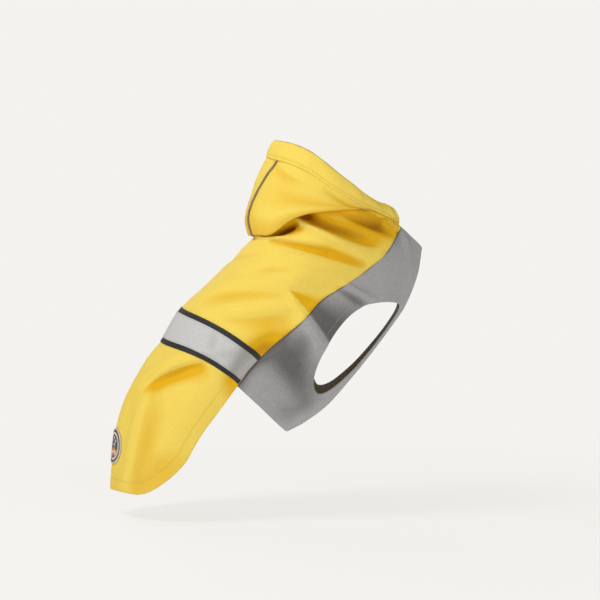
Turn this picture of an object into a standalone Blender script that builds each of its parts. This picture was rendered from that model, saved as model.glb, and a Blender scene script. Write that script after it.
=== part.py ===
"""Dog raincoat with a lowered hood, in the hollow form it keeps on a sitting dog.

The coat is a leaning tube of cloth.  Its back panel runs from the neck to a long
tail flap, its under panel closes it below between the two side seams and has the
leg holes, and the hood stands round the neck as a cowl.

+X is towards the wearer's head, +Y is the wearer's left and +Z is up.  The origin is
on the inside of the back panel over the withers.  Every wall is an open sheet of
points on the outer surface, thickened inwards.
"""

from collections import namedtuple

import bmesh
import bpy
import numpy as np

MM = 0.001

# Driving dimensions, in metres.
BACK_WALL = 2.0 * MM
UNDER_WALL = 2.0 * MM
HOOD_WALL = 1.6 * MM
CASING_WALL = 3.0 * MM
SEAM_GAP = 0.4 * MM
BAND_WALL = 1.0 * MM
TAPE_WALL = 0.8 * MM
LAYER_GAP = 0.5 * MM
PIPING_RADIUS = 1.5 * MM
BADGE_HEIGHT = 39 * MM
BADGE_WIDTH = 26 * MM
BADGE_WALL = 1.4 * MM

# The coat's rings, from the neck to the tail hem, in millimetres.  Each ring is a slice
# of the body between a point on the back and a point under it (behind the belly hem the
# lower point is only where the ring would close).  `lift` raises the sides of the
# neckline, `bow` bends the ring towards the head, `edge` is the angle from the back, in
# degrees, at which the yellow cloth ends, and `peak` draws the ring towards a roof.
Ring = namedtuple("Ring", "name back_x back_z under_x under_z half_width lift bow edge peak")
COAT_RINGS = (
    Ring("neckline", 8, 11, 192, -2, 60, 44, 0, 136, 0),
    Ring("throat", 6, 8, 187, -32, 68, 24, 9, 127, 0),
    Ring("breast", 3, 6, 174, -65, 74, 9, 12, 113.3, 0),
    Ring("withers", -1.4, 1.4, 158, -89, 78, 2, 14, 103.9, 0),
    Ring("shoulder", -9, -6, 139, -115, 81, 0, 14, 95.9, 0),
    Ring("ribs", -23, -20, 116, -145, 82, 0, 13, 93.7, 0),
    Ring("mid_back", -45, -42, 90, -175, 80, 0, 11, 90.7, 0),
    Ring("tape_top", -74, -69, 64, -194, 77, 0, 9, 92.9, 0.05),
    Ring("tape_end", -95, -105, 37, -209, 75, 0, 10, 96.6, 0.10),
    Ring("loin", -116, -132, 32, -225, 75, 0, 8, 95.4, 0.22),
    Ring("rump", -134, -165, 31, -238, 75, 0, 6, 91.9, 0.33),
    Ring("seat", -145, -200, 32, -251, 74, 0, 3, 86.9, 0.40),
    Ring("tail", -150, -235, 35, -261, 72, 0, 2, 81.9, 0.40),
    Ring("hem", -152, -267, 35, -274, 70, 0, 1, 76.9, 0.40),
)
NECKLINE = 0
TAIL_HEM = len(COAT_RINGS) - 1
BELLY_HEM = 7.65
HEM_CORNER_RINGS = 2
HEM_CORNER_ANGLE = 36
LIFT_ANGLES = (-28, 0, 28, 56, 90, 118, 136, 150, 165, 180, 195)
LIFT_SHARES = (0.30, 0, 0.30, 0.75, 1.0, 0.77, 0.52, 0.27, 0.08, 0, 0.08)
PEAK_ROUNDING = 0.3

# The hood's rings, from the rim of the face opening, down the outside, round the fold
# that hangs over the shoulders, and back in to the neckline.  Millimetres.  The rises
# lift the ring off its straight line at the given angles from the back, and `strip` is
# the angle of the seam between the centre strip and a side.
HoodRing = namedtuple(
    "HoodRing",
    "name back_x back_z under_x under_z half_width rise_25 rise_45 rise_60 rise_90 rise_120 strip",
)
HOOD_RINGS = (
    HoodRing("rim", 31, 115, 179, 31, 62, 3, 8, 10, 3, -3, 33),
    HoodRing("casing_seam", 23, 100, 187, 19, 66, 1, 5, 6, 0, 0, 31),
    HoodRing("upper", 10, 75, 190, 21, 70, 1, 3, 6, 6, 3, 25.5),
    HoodRing("middle", 1, 50, 191, 24, 74, 0, 2, 8, 12, 7, 20),
    HoodRing("lower", -3, 30, 191, 28, 77, 0, 0, 9, 16, 10, 18.5),
    HoodRing("fold", 1, 13, 190, 30, 76, 0, 1, 14, 20, 13, 19),
    HoodRing("tuck", 5, 12, 191, 26, 68, 5, 10, 20, 26, 15, 20),
)
RISE_COLUMNS = slice(HoodRing._fields.index("rise_25"), HoodRing._fields.index("strip"))
CASING_SEAM = 1
PIPING_END = 5.2
HOOD_SEAM = len(HOOD_RINGS)
HOOD_SEAM_STRIP = 21
HOOD_END = 136
HOOD_NARROWS_FROM = 85
HOOD_STRAIGHTENS_FROM = 98
CASING_DEPTH = 15 * MM
RISE_ANGLES = (-25, 0, 25, 45, 60, 90, 120, HOOD_END, 180)

# The largest folds: a soft ridge (height above 0) or trough (below 0) along a straight
# line from one ring and angle to another.  Negative angles are on the wearer's right.
Fold = namedtuple("Fold", "name ring_from angle_from ring_to angle_to half_width_mm height_mm")
FOLDS = (
    Fold("right shoulder ridge", 0.62, -58, 1.40, -116, 9, 4.5),
    Fold("right shoulder trough", 1.98, -46, 1.78, -112, 10, -4.0),
    Fold("right pull above leg", 4.45, -72, 4.23, -96, 11, -4.0),
    Fold("right side, upper", 5.50, -46, 4.55, -74, 8, -2.0),
    Fold("right side, lower", 6.05, -56, 5.20, -84, 8, -2.2),
    Fold("right tail crease", 7.85, -68, 9.50, -30, 9, -5.0),
    Fold("left shoulder ridge", 0.95, 66, 1.45, 110, 9, 4.0),
    Fold("left shoulder trough", 1.90, 52, 1.95, 104, 10, -3.5),
    Fold("left pull above leg", 4.70, 78, 4.30, 100, 10, -3.2),
    Fold("left side", 5.90, 44, 5.05, 80, 9, -2.4),
    Fold("left tail crease", 8.15, 74, 9.30, 36, 10, -4.2),
    Fold("right chest", 3.30, -108, 2.35, -126, 8, 2.0),
    Fold("left chest", 3.10, 110, 2.50, 128, 9, 1.8),
    Fold("right belly", 5.90, -99, 5.40, -112, 7, -2.0),
    Fold("left belly", 6.10, 100, 5.50, 114, 7, -2.0),
)
RING_PITCH = 32 * MM
DEGREE_PITCH = 1.45 * MM

# The tape lies along the rings and drifts towards the head down the sides.
TAPE_DRIFT = 0.40
BAND_RINGS = (6.93, 7.99)
TAPE_RINGS = (7.08, 7.84)
TAPE_END_GAP = 1.2

# A leg hole, in rings and degrees from the back: its two ends, the angle of its middle
# line at each end, and how far it opens above and below that line.
HOLE_FRONT = 2.08
HOLE_REAR = 6.05
HOLE_LINE_FRONT = 157
HOLE_LINE_REAR = 140
HOLE_ABOVE = 29.5
HOLE_BELOW = 15

# The badge's middle, in rings, and how far it lies to the left of the back's middle line.
BADGE_RING = 11.55
BADGE_ASIDE = -8.5 * MM
TAIL_RING_PITCH = 35 * MM

# How finely the sheets are divided.
RINGS_BETWEEN = 3
HEM_ROWS = 5
BACK_COLUMNS = 30
UNDER_FRONT_ROWS = 5
UNDER_HOLE_ROWS = 16
UNDER_REAR_ROWS = 4
UNDER_UPPER_COLUMNS = 6
UNDER_LOWER_COLUMNS = 5
HOOD_ROWS = 15
HOOD_SIDE_COLUMNS = 14
HOOD_CENTRE_COLUMNS = 4
CASING_ROWS = 3
CASING_COLUMNS = 36
BADGE_SQUARES = 10
PIPING_POINTS = 24
NORMAL_STEP = 0.02


def clear_scene():
    """Remove the objects that the file opened with."""
    for item in list(bpy.data.objects):
        bpy.data.objects.remove(item, do_unlink=True)


def new_collection(name):
    """Return a collection linked to the scene."""
    collection = bpy.data.collections.new(name)
    bpy.context.scene.collection.children.link(collection)
    return collection


def cloth_material(name, colour, roughness, metallic=0.0):
    """Return a Principled material of one colour."""
    material = bpy.data.materials.new(name)
    material.use_nodes = True
    shader = material.node_tree.nodes["Principled BSDF"]
    shader.inputs["Base Color"].default_value = (*colour, 1.0)
    shader.inputs["Roughness"].default_value = roughness
    shader.inputs["Metallic"].default_value = metallic
    material.diffuse_color = (*colour, 1.0)
    return material


def column(table, name):
    """Return one column of a table of named rows as an array."""
    return np.array([getattr(row, name) for row in table], dtype=float)


def along_rows(values, at):
    """Read evenly spaced values at fractional rows, on a Catmull-Rom curve."""
    last = len(values) - 1
    at = np.clip(at, 0, last)
    low = np.minimum(at.astype(int), last - 1)
    part = at - low
    padded = np.concatenate(
        ([2 * values[0] - values[1]], values, [2 * values[-1] - values[-2]])
    )
    before, start, end, after = (padded[low + shift] for shift in range(4))
    bend = 2 * before - 5 * start + 4 * end - after
    twist = 3 * start - before - 3 * end + after
    return 0.5 * (2 * start + (end - before) * part + bend * part**2 + twist * part**3)


def through_knots(knots, values, at):
    """Read a smooth curve through unevenly spaced knots (cubic Hermite spans)."""
    knots = np.asarray(knots, dtype=float)
    values = np.asarray(values, dtype=float)
    spans = np.diff(knots)
    slopes = np.diff(values) / spans
    tangents = np.concatenate(([slopes[0]], slopes[:-1], [slopes[-1]]))
    inner = (slopes[:-1] * spans[1:] + slopes[1:] * spans[:-1]) / (spans[:-1] + spans[1:])
    tangents[1:-1] = inner
    at = np.clip(at, knots[0], knots[-1])
    low = np.clip(np.searchsorted(knots, at, side="right") - 1, 0, len(spans) - 1)
    part = (at - knots[low]) / spans[low]
    rise = 3 * part**2 - 2 * part**3
    leave = (part - 2 * part**2 + part**3) * spans[low] * tangents[low]
    arrive = (part**3 - part**2) * spans[low] * tangents[low + 1]
    return values[low] + rise * (values[low + 1] - values[low]) + leave + arrive


def smooth_step(low, high, at):
    """Rise from 0 to 1 between two values, level at both ends."""
    part = np.clip((at - low) / (high - low), 0, 1)
    return part * part * (3 - 2 * part)


def from_back(angle):
    """Return how far an angle in degrees is from the back, 0 to 180, on either side."""
    return np.abs((angle + 180) % 360 - 180)


def coat_form(ring, angle):
    """Place points on the coat without its folds.

    A ring is an ellipse in side view: a point goes along the straight line from the
    back to the underside by (1 - cos angle) / 2 and sideways by half_width * sin angle.
    """
    values = {name: along_rows(column(COAT_RINGS, name), ring) for name in Ring._fields[1:]}
    turn = np.radians(angle)
    side = np.abs(np.sin(turn))
    share = (1 - np.cos(turn)) / 2
    roof = np.sqrt(side**2 + PEAK_ROUNDING**2) - PEAK_ROUNDING
    share = share + values["peak"] * roof * (1 - side) * (np.cos(turn) > 0)
    across_x = values["under_x"] - values["back_x"]
    across_z = values["under_z"] - values["back_z"]
    length = np.hypot(across_x, across_z)
    bow = values["bow"] * side**2 / length
    lift = values["lift"] * through_knots(LIFT_ANGLES, LIFT_SHARES, from_back(angle))
    x = values["back_x"] + across_x * share - across_z * bow
    y = values["half_width"] * np.sin(turn)
    z = values["back_z"] + across_z * share + across_x * bow + lift
    return np.stack((x, y, z), axis=-1) * MM


def hood_ring(row, angle):
    """Place points on one of the hood's rings; its front ends come in to the neck."""
    away = from_back(angle)
    turn = np.radians(angle)
    share = (1 - np.cos(turn)) / 2
    rises = (row.rise_25, 0) + row[RISE_COLUMNS] + (0, 0)
    neck_width = COAT_RINGS[NECKLINE].half_width
    narrowing = smooth_step(HOOD_NARROWS_FROM, HOOD_END, away)
    width = row.half_width + (neck_width - row.half_width) * narrowing
    x = row.back_x + (row.under_x - row.back_x) * share
    z = row.back_z + (row.under_z - row.back_z) * share
    z = z + through_knots(RISE_ANGLES, rises, away)
    return np.stack((x, width * np.sin(turn), z), axis=-1) * MM


def hood_form(level, angle):
    """Place points on the hood, from level 0 at the rim to HOOD_SEAM at the neckline.

    The levels are joined by a Catmull-Rom curve whose last row is the coat's neckline.
    Towards its front ends the cloth lies straight from the casing seam to the neckline.
    """
    rows = [hood_ring(row, angle) for row in HOOD_RINGS] + [neck_seam(angle)]
    straightening = smooth_step(HOOD_STRAIGHTENS_FROM, HOOD_END, from_back(angle))[:, None]
    drop = rows[HOOD_SEAM] - rows[CASING_SEAM]
    for index in range(CASING_SEAM + 1, HOOD_SEAM):
        share = (index - CASING_SEAM) / (HOOD_SEAM - CASING_SEAM)
        straight = rows[CASING_SEAM] + drop * share
        rows[index] = rows[index] + (straight - rows[index]) * straightening
    rows = [2 * rows[0] - rows[1]] + rows + [2 * rows[-1] - rows[-2]]
    stack = np.stack(rows)
    low = np.minimum(level.astype(int), HOOD_SEAM - 1)
    part = (level - low)[..., None]
    pick = np.arange(len(level))
    before, start, end, after = (stack[low + shift, pick] for shift in range(4))
    bend = 2 * before - 5 * start + 4 * end - after
    twist = 3 * start - before - 3 * end + after
    return 0.5 * (2 * start + (end - before) * part + bend * part**2 + twist * part**3)


def neck_seam(angle):
    """Place the hood's lower edge one seam gap past the neckline of the coat."""
    edge = coat_form(np.full_like(angle, NECKLINE), angle)
    inside = coat_form(np.full_like(angle, NECKLINE + NORMAL_STEP), angle)
    away = edge - inside
    return edge + away / np.linalg.norm(away, axis=-1, keepdims=True) * SEAM_GAP


def outward(form, ring, angle):
    """Return the outward unit normals of a form, from small steps along and round it."""
    top = TAIL_HEM if form in (coat_form, folded_coat) else HOOD_SEAM
    ahead = np.clip(ring + NORMAL_STEP, 0, top)
    behind = np.clip(ring - NORMAL_STEP, 0, top)
    along = form(ahead, angle) - form(behind, angle)
    around = form(ring, angle + 1) - form(ring, angle - 1)
    normal = np.cross(around, along)
    return normal / np.linalg.norm(normal, axis=-1, keepdims=True)


def fold_height(ring, angle):
    """Add up the folds: each is a bell across its line, fading out past its two ends."""
    total = np.zeros_like(ring)
    signed = (angle + 180) % 360 - 180
    for fold in FOLDS:
        run = np.array((fold.ring_to - fold.ring_from, fold.angle_to - fold.angle_from))
        run = run * (RING_PITCH, DEGREE_PITCH)
        length = np.hypot(*run)
        heading = run / length
        x = (ring - fold.ring_from) * RING_PITCH
        y = (signed - fold.angle_from) * DEGREE_PITCH
        along = x * heading[0] + y * heading[1]
        across = x * heading[1] - y * heading[0]
        past = np.maximum(np.abs(along - length / 2) - length / 2, 0)
        half_width = fold.half_width_mm * MM
        total += fold.height_mm * MM * np.exp(-(across**2 + past**2) / half_width**2)
    return total


def folded_coat(ring, angle):
    """Place points on the coat's outer surface, with its folds."""
    height = fold_height(ring, angle)[..., None]
    return coat_form(ring, angle) + outward(coat_form, ring, angle) * height


def raised(form, ring, angle, height):
    """Place points at a height above a form."""
    return form(ring, angle) + outward(form, ring, angle) * height


def seam_angle(ring):
    """Return the angle from the back at which the yellow cloth ends.

    Over the last rings the side's line turns into a quarter of an ellipse, which rounds
    the corner of the hem.
    """
    side = along_rows(column(COAT_RINGS, "edge"), ring)
    turned = np.clip(1 - (TAIL_HEM - ring) / HEM_CORNER_RINGS, 0, 1)
    return HEM_CORNER_ANGLE + (side - HEM_CORNER_ANGLE) * np.sqrt(1 - turned**2)


def strip_angle(level):
    """Return the angle of the seams beside the hood's centre strip."""
    return along_rows(np.append(column(HOOD_RINGS, "strip"), HOOD_SEAM_STRIP), level)


def hole_line(ring):
    """Return the angle of a leg hole's middle line."""
    part = (ring - HOLE_FRONT) / (HOLE_REAR - HOLE_FRONT)
    return HOLE_LINE_FRONT + (HOLE_LINE_REAR - HOLE_LINE_FRONT) * part


def hole_opening(ring):
    """Return how open a leg hole is at a ring: 0 at its ends and outside it, 1 midway."""
    part = (2 * ring - HOLE_FRONT - HOLE_REAR) / (HOLE_REAR - HOLE_FRONT)
    return np.sqrt(np.maximum(1 - part**2, 0))


def gap_in_degrees(gap):
    """Return a gap round the coat as an angle."""
    return gap / DEGREE_PITCH


def link_object(name, mesh, material, collection):
    """Make an object of a mesh, with its material, in a collection."""
    mesh.materials.append(material)
    made = bpy.data.objects.new(name, mesh)
    collection.objects.link(made)
    return made


def thicken(made, wall):
    """Give an open sheet its wall, inwards from the outer surface."""
    solid = made.modifiers.new("Wall", "SOLIDIFY")
    solid.thickness = wall
    solid.offset = -1
    solid.use_rim = True


def grid_mesh(rows, columns):
    """Return a bmesh grid whose vertices hold their row and column in x and y."""
    grid = bmesh.new()
    bmesh.ops.create_grid(grid, x_segments=rows, y_segments=columns, size=0.5)
    for vertex in grid.verts:
        vertex.co.x = (vertex.co.x + 0.5) * rows
        vertex.co.y = (vertex.co.y + 0.5) * columns
    return grid


def sheet(name, grid, points, wall, material, collection):
    """Make a walled sheet of a grid whose vertices are moved to the points."""
    for vertex, point in zip(grid.verts, points):
        vertex.co = point
    bmesh.ops.reverse_faces(grid, faces=grid.faces)
    mesh = bpy.data.meshes.new(name)
    grid.to_mesh(mesh)
    grid.free()
    mesh.shade_smooth()
    made = link_object(name, mesh, material, collection)
    thicken(made, wall)
    return made


def rows_and_columns(grid):
    """Return the row and the column of every vertex of a grid, as arrays."""
    places = np.array([vertex.co[:2] for vertex in grid.verts])
    return places[:, 0], places[:, 1]


def back_rings():
    """Return the rings of the back panel's rows, closer and closer towards the hem."""
    last = TAIL_HEM - 1
    even = np.linspace(NECKLINE, last, last * RINGS_BETWEEN + 1)
    left = np.linspace(1, 0, HEM_ROWS + 1)[1:]
    return np.concatenate((even, TAIL_HEM - left**2))


def back_panel(material, collection):
    """The yellow panel: neckline to tail hem, side seam to side seam."""
    rings = back_rings()
    grid = grid_mesh(len(rings) - 1, BACK_COLUMNS)
    row, col = rows_and_columns(grid)
    ring = rings[np.rint(row).astype(int)]
    reach = seam_angle(ring) - gap_in_degrees(SEAM_GAP / 2)
    angle = reach * (2 * col / BACK_COLUMNS - 1)
    points = folded_coat(ring, angle)
    return sheet("back_panel", grid, points, BACK_WALL, material, collection)


def under_rings():
    """Return the rings of the under panel's rows, closest at the ends of the leg holes."""
    front = np.linspace(NECKLINE, HOLE_FRONT, UNDER_FRONT_ROWS + 1)[:-1]
    turn = np.linspace(0, np.pi, UNDER_HOLE_ROWS + 1)
    hole = HOLE_FRONT + (HOLE_REAR - HOLE_FRONT) * (1 - np.cos(turn)) / 2
    rear = np.linspace(HOLE_REAR, BELLY_HEM, UNDER_REAR_ROWS + 1)[1:]
    return np.concatenate((front, hole, rear))


def open_slits(grid, slit_columns):
    """Split a grid along two slits and tell each slit's two banks apart.

    Returns, for each vertex, +1 on the bank towards the higher columns, -1 on the
    other bank and 0 everywhere else.
    """
    first = UNDER_FRONT_ROWS
    last = UNDER_FRONT_ROWS + UNDER_HOLE_ROWS
    cuts = []
    for edge in grid.edges:
        (row_a, col_a), (row_b, col_b) = (vertex.co[:2] for vertex in edge.verts)
        on_slit = round(col_a) == round(col_b) and round(col_a) in slit_columns
        if on_slit and first <= min(row_a, row_b) + 0.1 and max(row_a, row_b) - 0.1 <= last:
            cuts.append(edge)
    bmesh.ops.split_edges(grid, edges=cuts)
    banks = np.zeros(len(grid.verts))
    for index, vertex in enumerate(grid.verts):
        row, col = vertex.co[:2]
        if round(col) in slit_columns and first < round(row) < last:
            middle = np.mean([face.calc_center_median().y for face in vertex.link_faces])
            banks[index] = np.sign(middle - col)
    return banks


def under_panel(material, collection):
    """The grey panel: bib, chest and belly in one, with the two leg holes."""
    rings = under_rings()
    half = UNDER_UPPER_COLUMNS + UNDER_LOWER_COLUMNS
    slits = (UNDER_UPPER_COLUMNS, 2 * half - UNDER_UPPER_COLUMNS)
    grid = grid_mesh(len(rings) - 1, 2 * half)
    banks = open_slits(grid, slits)
    row, col = rows_and_columns(grid)
    ring = rings[np.rint(row).astype(int)]
    right = col <= half
    from_seam = np.where(right, col, 2 * half - col)
    bank = np.where(right, banks, -banks)
    upper = (from_seam < UNDER_UPPER_COLUMNS) | ((from_seam == UNDER_UPPER_COLUMNS) & (bank <= 0))
    seam = seam_angle(ring) + gap_in_degrees(SEAM_GAP / 2)
    top = hole_line(ring) - HOLE_ABOVE * hole_opening(ring)
    bottom = hole_line(ring) + HOLE_BELOW * hole_opening(ring)
    down = from_seam / UNDER_UPPER_COLUMNS
    below = (from_seam - UNDER_UPPER_COLUMNS) / UNDER_LOWER_COLUMNS
    away = np.where(upper, seam + (top - seam) * down, bottom + (180 - bottom) * below)
    angle = np.where(right, -away, away)
    points = folded_coat(ring, angle)
    return sheet("under_panel", grid, points, UNDER_WALL, material, collection)


def cross_strip(name, ring_pair, height, rows, wall, material, collection):
    """A strip across the back panel, from seam to seam, at a height above it."""
    grid = grid_mesh(rows, BACK_COLUMNS)
    row, col = rows_and_columns(grid)
    base = ring_pair[0] + (ring_pair[1] - ring_pair[0]) * row / rows
    reach = seam_angle(base - TAPE_DRIFT) - TAPE_END_GAP
    angle = reach * (2 * col / BACK_COLUMNS - 1)
    ring = base - TAPE_DRIFT * np.sin(np.radians(angle)) ** 2
    points = raised(folded_coat, ring, angle, height + wall)
    return sheet(name, grid, points, wall, material, collection)


def tape_band(material, collection):
    """The black band that the reflective tape is sewn to."""
    return cross_strip("tape_band", BAND_RINGS, LAYER_GAP, 4, BAND_WALL, material, collection)


def reflective_tape(material, collection):
    """The silver tape along the middle of its band."""
    height = BAND_WALL + 2 * LAYER_GAP
    return cross_strip(
        "reflective_tape", TAPE_RINGS, height, 3, TAPE_WALL, material, collection
    )


def hood_panel(name, side, material, collection):
    """One piece of the hood below the casing: side is -1 right, 0 centre, +1 left."""
    columns = HOOD_SIDE_COLUMNS if side else HOOD_CENTRE_COLUMNS
    grid = grid_mesh(HOOD_ROWS, columns)
    row, col = rows_and_columns(grid)
    share = row / HOOD_ROWS
    level = CASING_SEAM + (HOOD_SEAM - CASING_SEAM) * share
    strip = strip_angle(level)
    gap = gap_in_degrees(SEAM_GAP / 2)
    if side == 0:
        angle = (strip - gap) * (2 * col / columns - 1)
    elif side > 0:
        angle = strip + gap + (HOOD_END - strip - gap) * col / columns
    else:
        angle = -HOOD_END + (HOOD_END - strip - gap) * col / columns
    points = hood_form(level, angle)
    return sheet(name, grid, points, HOOD_WALL, material, collection)


def hood_rim_casing(material, collection):
    """The turned channel round the face opening."""
    grid = grid_mesh(CASING_ROWS, CASING_COLUMNS)
    row, col = rows_and_columns(grid)
    level = (CASING_SEAM - SEAM_GAP / CASING_DEPTH) * row / CASING_ROWS
    angle = HOOD_END * (2 * col / CASING_COLUMNS - 1)
    points = hood_form(level, angle)
    return sheet("hood_rim_casing", grid, points, CASING_WALL, material, collection)


def hood_piping(name, side, material, collection):
    """A thin round piping that stands on the seam beside the hood's centre strip."""
    level = np.linspace(CASING_SEAM + 0.1, PIPING_END, PIPING_POINTS)
    angle = side * strip_angle(level)
    points = raised(hood_form, level, angle, PIPING_RADIUS + LAYER_GAP)
    curve = bpy.data.curves.new(name, "CURVE")
    curve.dimensions = "3D"
    curve.bevel_depth = PIPING_RADIUS
    curve.bevel_resolution = 1
    curve.use_fill_caps = True
    spline = curve.splines.new("POLY")
    spline.points.add(len(points) - 1)
    for knot, point in zip(spline.points, points):
        knot.co = (*point, 1)
    return link_object(name, curve, material, collection)


def badge(material, collection):
    """An oval patch near the tail, a little to the right of the middle of the back.

    A square grid is rounded to a disc by x * sqrt(1 - y * y / 2) and the same for y.
    """
    grid = grid_mesh(BADGE_SQUARES, BADGE_SQUARES)
    row, col = rows_and_columns(grid)
    down = 2 * row / BADGE_SQUARES - 1
    across = 2 * col / BADGE_SQUARES - 1
    along = down * np.sqrt(1 - across**2 / 2) * BADGE_HEIGHT / 2
    side = across * np.sqrt(1 - down**2 / 2) * BADGE_WIDTH / 2
    ring = BADGE_RING + along / TAIL_RING_PITCH
    half_width = along_rows(column(COAT_RINGS, "half_width"), ring) * MM
    angle = np.degrees(np.arcsin((BADGE_ASIDE + side) / half_width))
    points = raised(folded_coat, ring, angle, LAYER_GAP + BADGE_WALL)
    return sheet("badge", grid, points, BADGE_WALL, material, collection)


def build():
    """Make every piece of the coat."""
    clear_scene()
    coat = new_collection("dog_raincoat")
    yellow = cloth_material("yellow_shell", (0.84, 0.58, 0.10), 0.55)
    grey = cloth_material("grey_knit", (0.30, 0.29, 0.29), 0.85)
    black = cloth_material("black_webbing", (0.04, 0.04, 0.04), 0.7)
    silver = cloth_material("silver_tape", (0.58, 0.58, 0.57), 0.4)
    brown = cloth_material("piping_brown", (0.13, 0.11, 0.08), 0.6)
    patch = cloth_material("patch_charcoal", (0.09, 0.09, 0.10), 0.7)
    back_panel(yellow, coat)
    under_panel(grey, coat)
    tape_band(black, coat)
    reflective_tape(silver, coat)
    hood_panel("hood_centre", 0, yellow, coat)
    hood_panel("hood_side_left", 1, yellow, coat)
    hood_panel("hood_side_right", -1, yellow, coat)
    hood_rim_casing(yellow, coat)
    hood_piping("hood_piping_left", 1, brown, coat)
    hood_piping("hood_piping_right", -1, brown, coat)
    badge(patch, coat)


build()
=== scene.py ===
"""Dog raincoat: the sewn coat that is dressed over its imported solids.

The coat is a leaning tube of cloth with a lowered hood.  +X is towards the wearer's head,
+Y the wearer's left, +Z up, and the origin is inside the back panel over the withers.
Places on the coat are a ring, counted from the neckline to the tail hem, and an angle in
degrees from the middle of the back, negative on the wearer's right.  Places on the hood are
a level, from the rim of the face opening to the neckline, and the same angle.
"""

from collections import namedtuple
from functools import partial

import bpy
import numpy as np
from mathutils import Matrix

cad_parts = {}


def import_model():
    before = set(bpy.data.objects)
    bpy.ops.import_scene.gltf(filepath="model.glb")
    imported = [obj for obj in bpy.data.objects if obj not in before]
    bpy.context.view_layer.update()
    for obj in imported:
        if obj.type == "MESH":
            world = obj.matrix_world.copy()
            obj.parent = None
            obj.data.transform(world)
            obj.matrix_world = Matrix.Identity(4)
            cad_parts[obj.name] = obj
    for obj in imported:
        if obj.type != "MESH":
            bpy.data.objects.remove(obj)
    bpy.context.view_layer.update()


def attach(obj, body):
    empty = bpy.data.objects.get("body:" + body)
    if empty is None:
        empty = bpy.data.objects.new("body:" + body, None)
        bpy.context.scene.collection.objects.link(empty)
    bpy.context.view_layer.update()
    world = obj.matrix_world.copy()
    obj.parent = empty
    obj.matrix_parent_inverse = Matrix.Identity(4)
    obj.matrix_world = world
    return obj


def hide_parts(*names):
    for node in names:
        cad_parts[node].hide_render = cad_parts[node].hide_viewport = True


MM = 0.001

# Thicknesses of the cloth and sizes of what lies on it, in metres.  A hem is the thickness
# of the cloth where it is turned in, and a height is how far a strip's top lies above the
# cloth that carries it.
SHELL_WALL = 1.1 * MM
SHELL_HEM_WALL = 1.9 * MM
KNIT_WALL = 1.3 * MM
KNIT_HEM_WALL = 2.1 * MM
HOOD_WALL = 1.0 * MM
CASING_WALL = 2.6 * MM
BAND_HEIGHT = 0.75 * MM
TAPE_HEIGHT = 1.25 * MM
TAPE_WALL = 0.7 * MM
PIPING_RADIUS = 1.2 * MM
THREAD_RADIUS = 0.22 * MM

# How far the casing's sewn edge stands off the hood, how many times that at the back, and
# between which angles it gets less; and from which angle on the casing is gathered.
CASING_STEP = 1.2 * MM
CASING_STEP_AT_BACK = 1.7
CASING_STEP_FADES = (50, 95)
CASING_GATHERS_FROM = 96

# The coat's rings, in millimetres: where the ring meets the back and the underside, half
# its width, how much the neckline lifts at the sides, how far the ring bows to the head,
# the angle at which the yellow cloth ends, and how much the ring draws up to a roof.
Ring = namedtuple("Ring", "name back_x back_z under_x under_z half_width lift bow edge peak")
COAT_RINGS = (
    Ring("neckline", 8, 11, 192, -2, 60, 44, 0, 136, 0),
    Ring("throat", 6, 8, 187, -32, 68, 24, 9, 127, 0),
    Ring("breast", 3, 6, 174, -65, 74, 9, 12, 113.3, 0),
    Ring("withers", -1.4, 1.4, 158, -89, 78, 2, 14, 103.9, 0),
    Ring("shoulder", -9, -6, 139, -115, 81, 0, 14, 95.9, 0),
    Ring("ribs", -23, -20, 116, -145, 82, 0, 13, 93.7, 0),
    Ring("mid_back", -45, -42, 90, -175, 80, 0, 11, 90.7, 0),
    Ring("tape_top", -74, -69, 64, -194, 77, 0, 9, 92.9, 0.05),
    Ring("tape_end", -95, -105, 37, -209, 75, 0, 10, 96.6, 0.10),
    Ring("loin", -116, -132, 32, -225, 75, 0, 8, 95.4, 0.22),
    Ring("rump", -134, -165, 31, -238, 75, 0, 6, 91.9, 0.33),
    Ring("seat", -145, -200, 32, -251, 74, 0, 3, 86.9, 0.40),
    Ring("tail", -150, -235, 35, -261, 72, 0, 2, 81.9, 0.40),
    Ring("hem", -152, -267, 35, -274, 70, 0, 1, 76.9, 0.40),
)
NECKLINE = 0
TAIL_HEM = len(COAT_RINGS) - 1
BELLY_HEM = 7.65
HEM_CORNER_RINGS = 2
HEM_CORNER_ANGLE = 36

# How much of a ring's lift each angle gets, and how round the roof is at the middle.
LIFT_ANGLES = (-28, 0, 28, 56, 90, 118, 136, 150, 165, 180, 195)
LIFT_SHARES = (0.30, 0, 0.30, 0.75, 1.0, 0.77, 0.52, 0.27, 0.08, 0, 0.08)
PEAK_ROUNDING = 0.3

# The hood's rings, in millimetres, from the rim down the outside, round the fold that
# hangs over the shoulders, and back in to the neckline.  A rise is how far the ring lifts
# at that angle, and the strip is the angle of the seams beside the centre strip.
HoodRing = namedtuple(
    "HoodRing",
    "name back_x back_z under_x under_z half_width rise_25 rise_45 rise_60 rise_90 rise_120 strip",
)
HOOD_RINGS = (
    HoodRing("rim", 31, 115, 179, 31, 62, 3, 8, 10, 3, -3, 33),
    HoodRing("casing_seam", 23, 100, 187, 19, 66, 1, 5, 6, 0, 0, 31),
    HoodRing("upper", 10, 75, 190, 21, 70, 1, 3, 6, 6, 3, 25.5),
    HoodRing("middle", 1, 50, 191, 24, 74, 0, 2, 8, 12, 7, 20),
    HoodRing("lower", -3, 30, 191, 28, 77, 0, 0, 9, 16, 10, 18.5),
    HoodRing("fold", 1, 13, 190, 30, 76, 0, 1, 14, 20, 13, 19),
    HoodRing("tuck", 5, 12, 191, 26, 68, 5, 10, 20, 26, 15, 20),
)
RISE_COLUMNS = slice(HoodRing._fields.index("rise_25"), HoodRing._fields.index("strip"))
RISE_ANGLES = (-25, 0, 25, 45, 60, 90, 120, 136, 180)
CASING_SEAM = 1
CASING_EDGE = CASING_SEAM + 0.05
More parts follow.
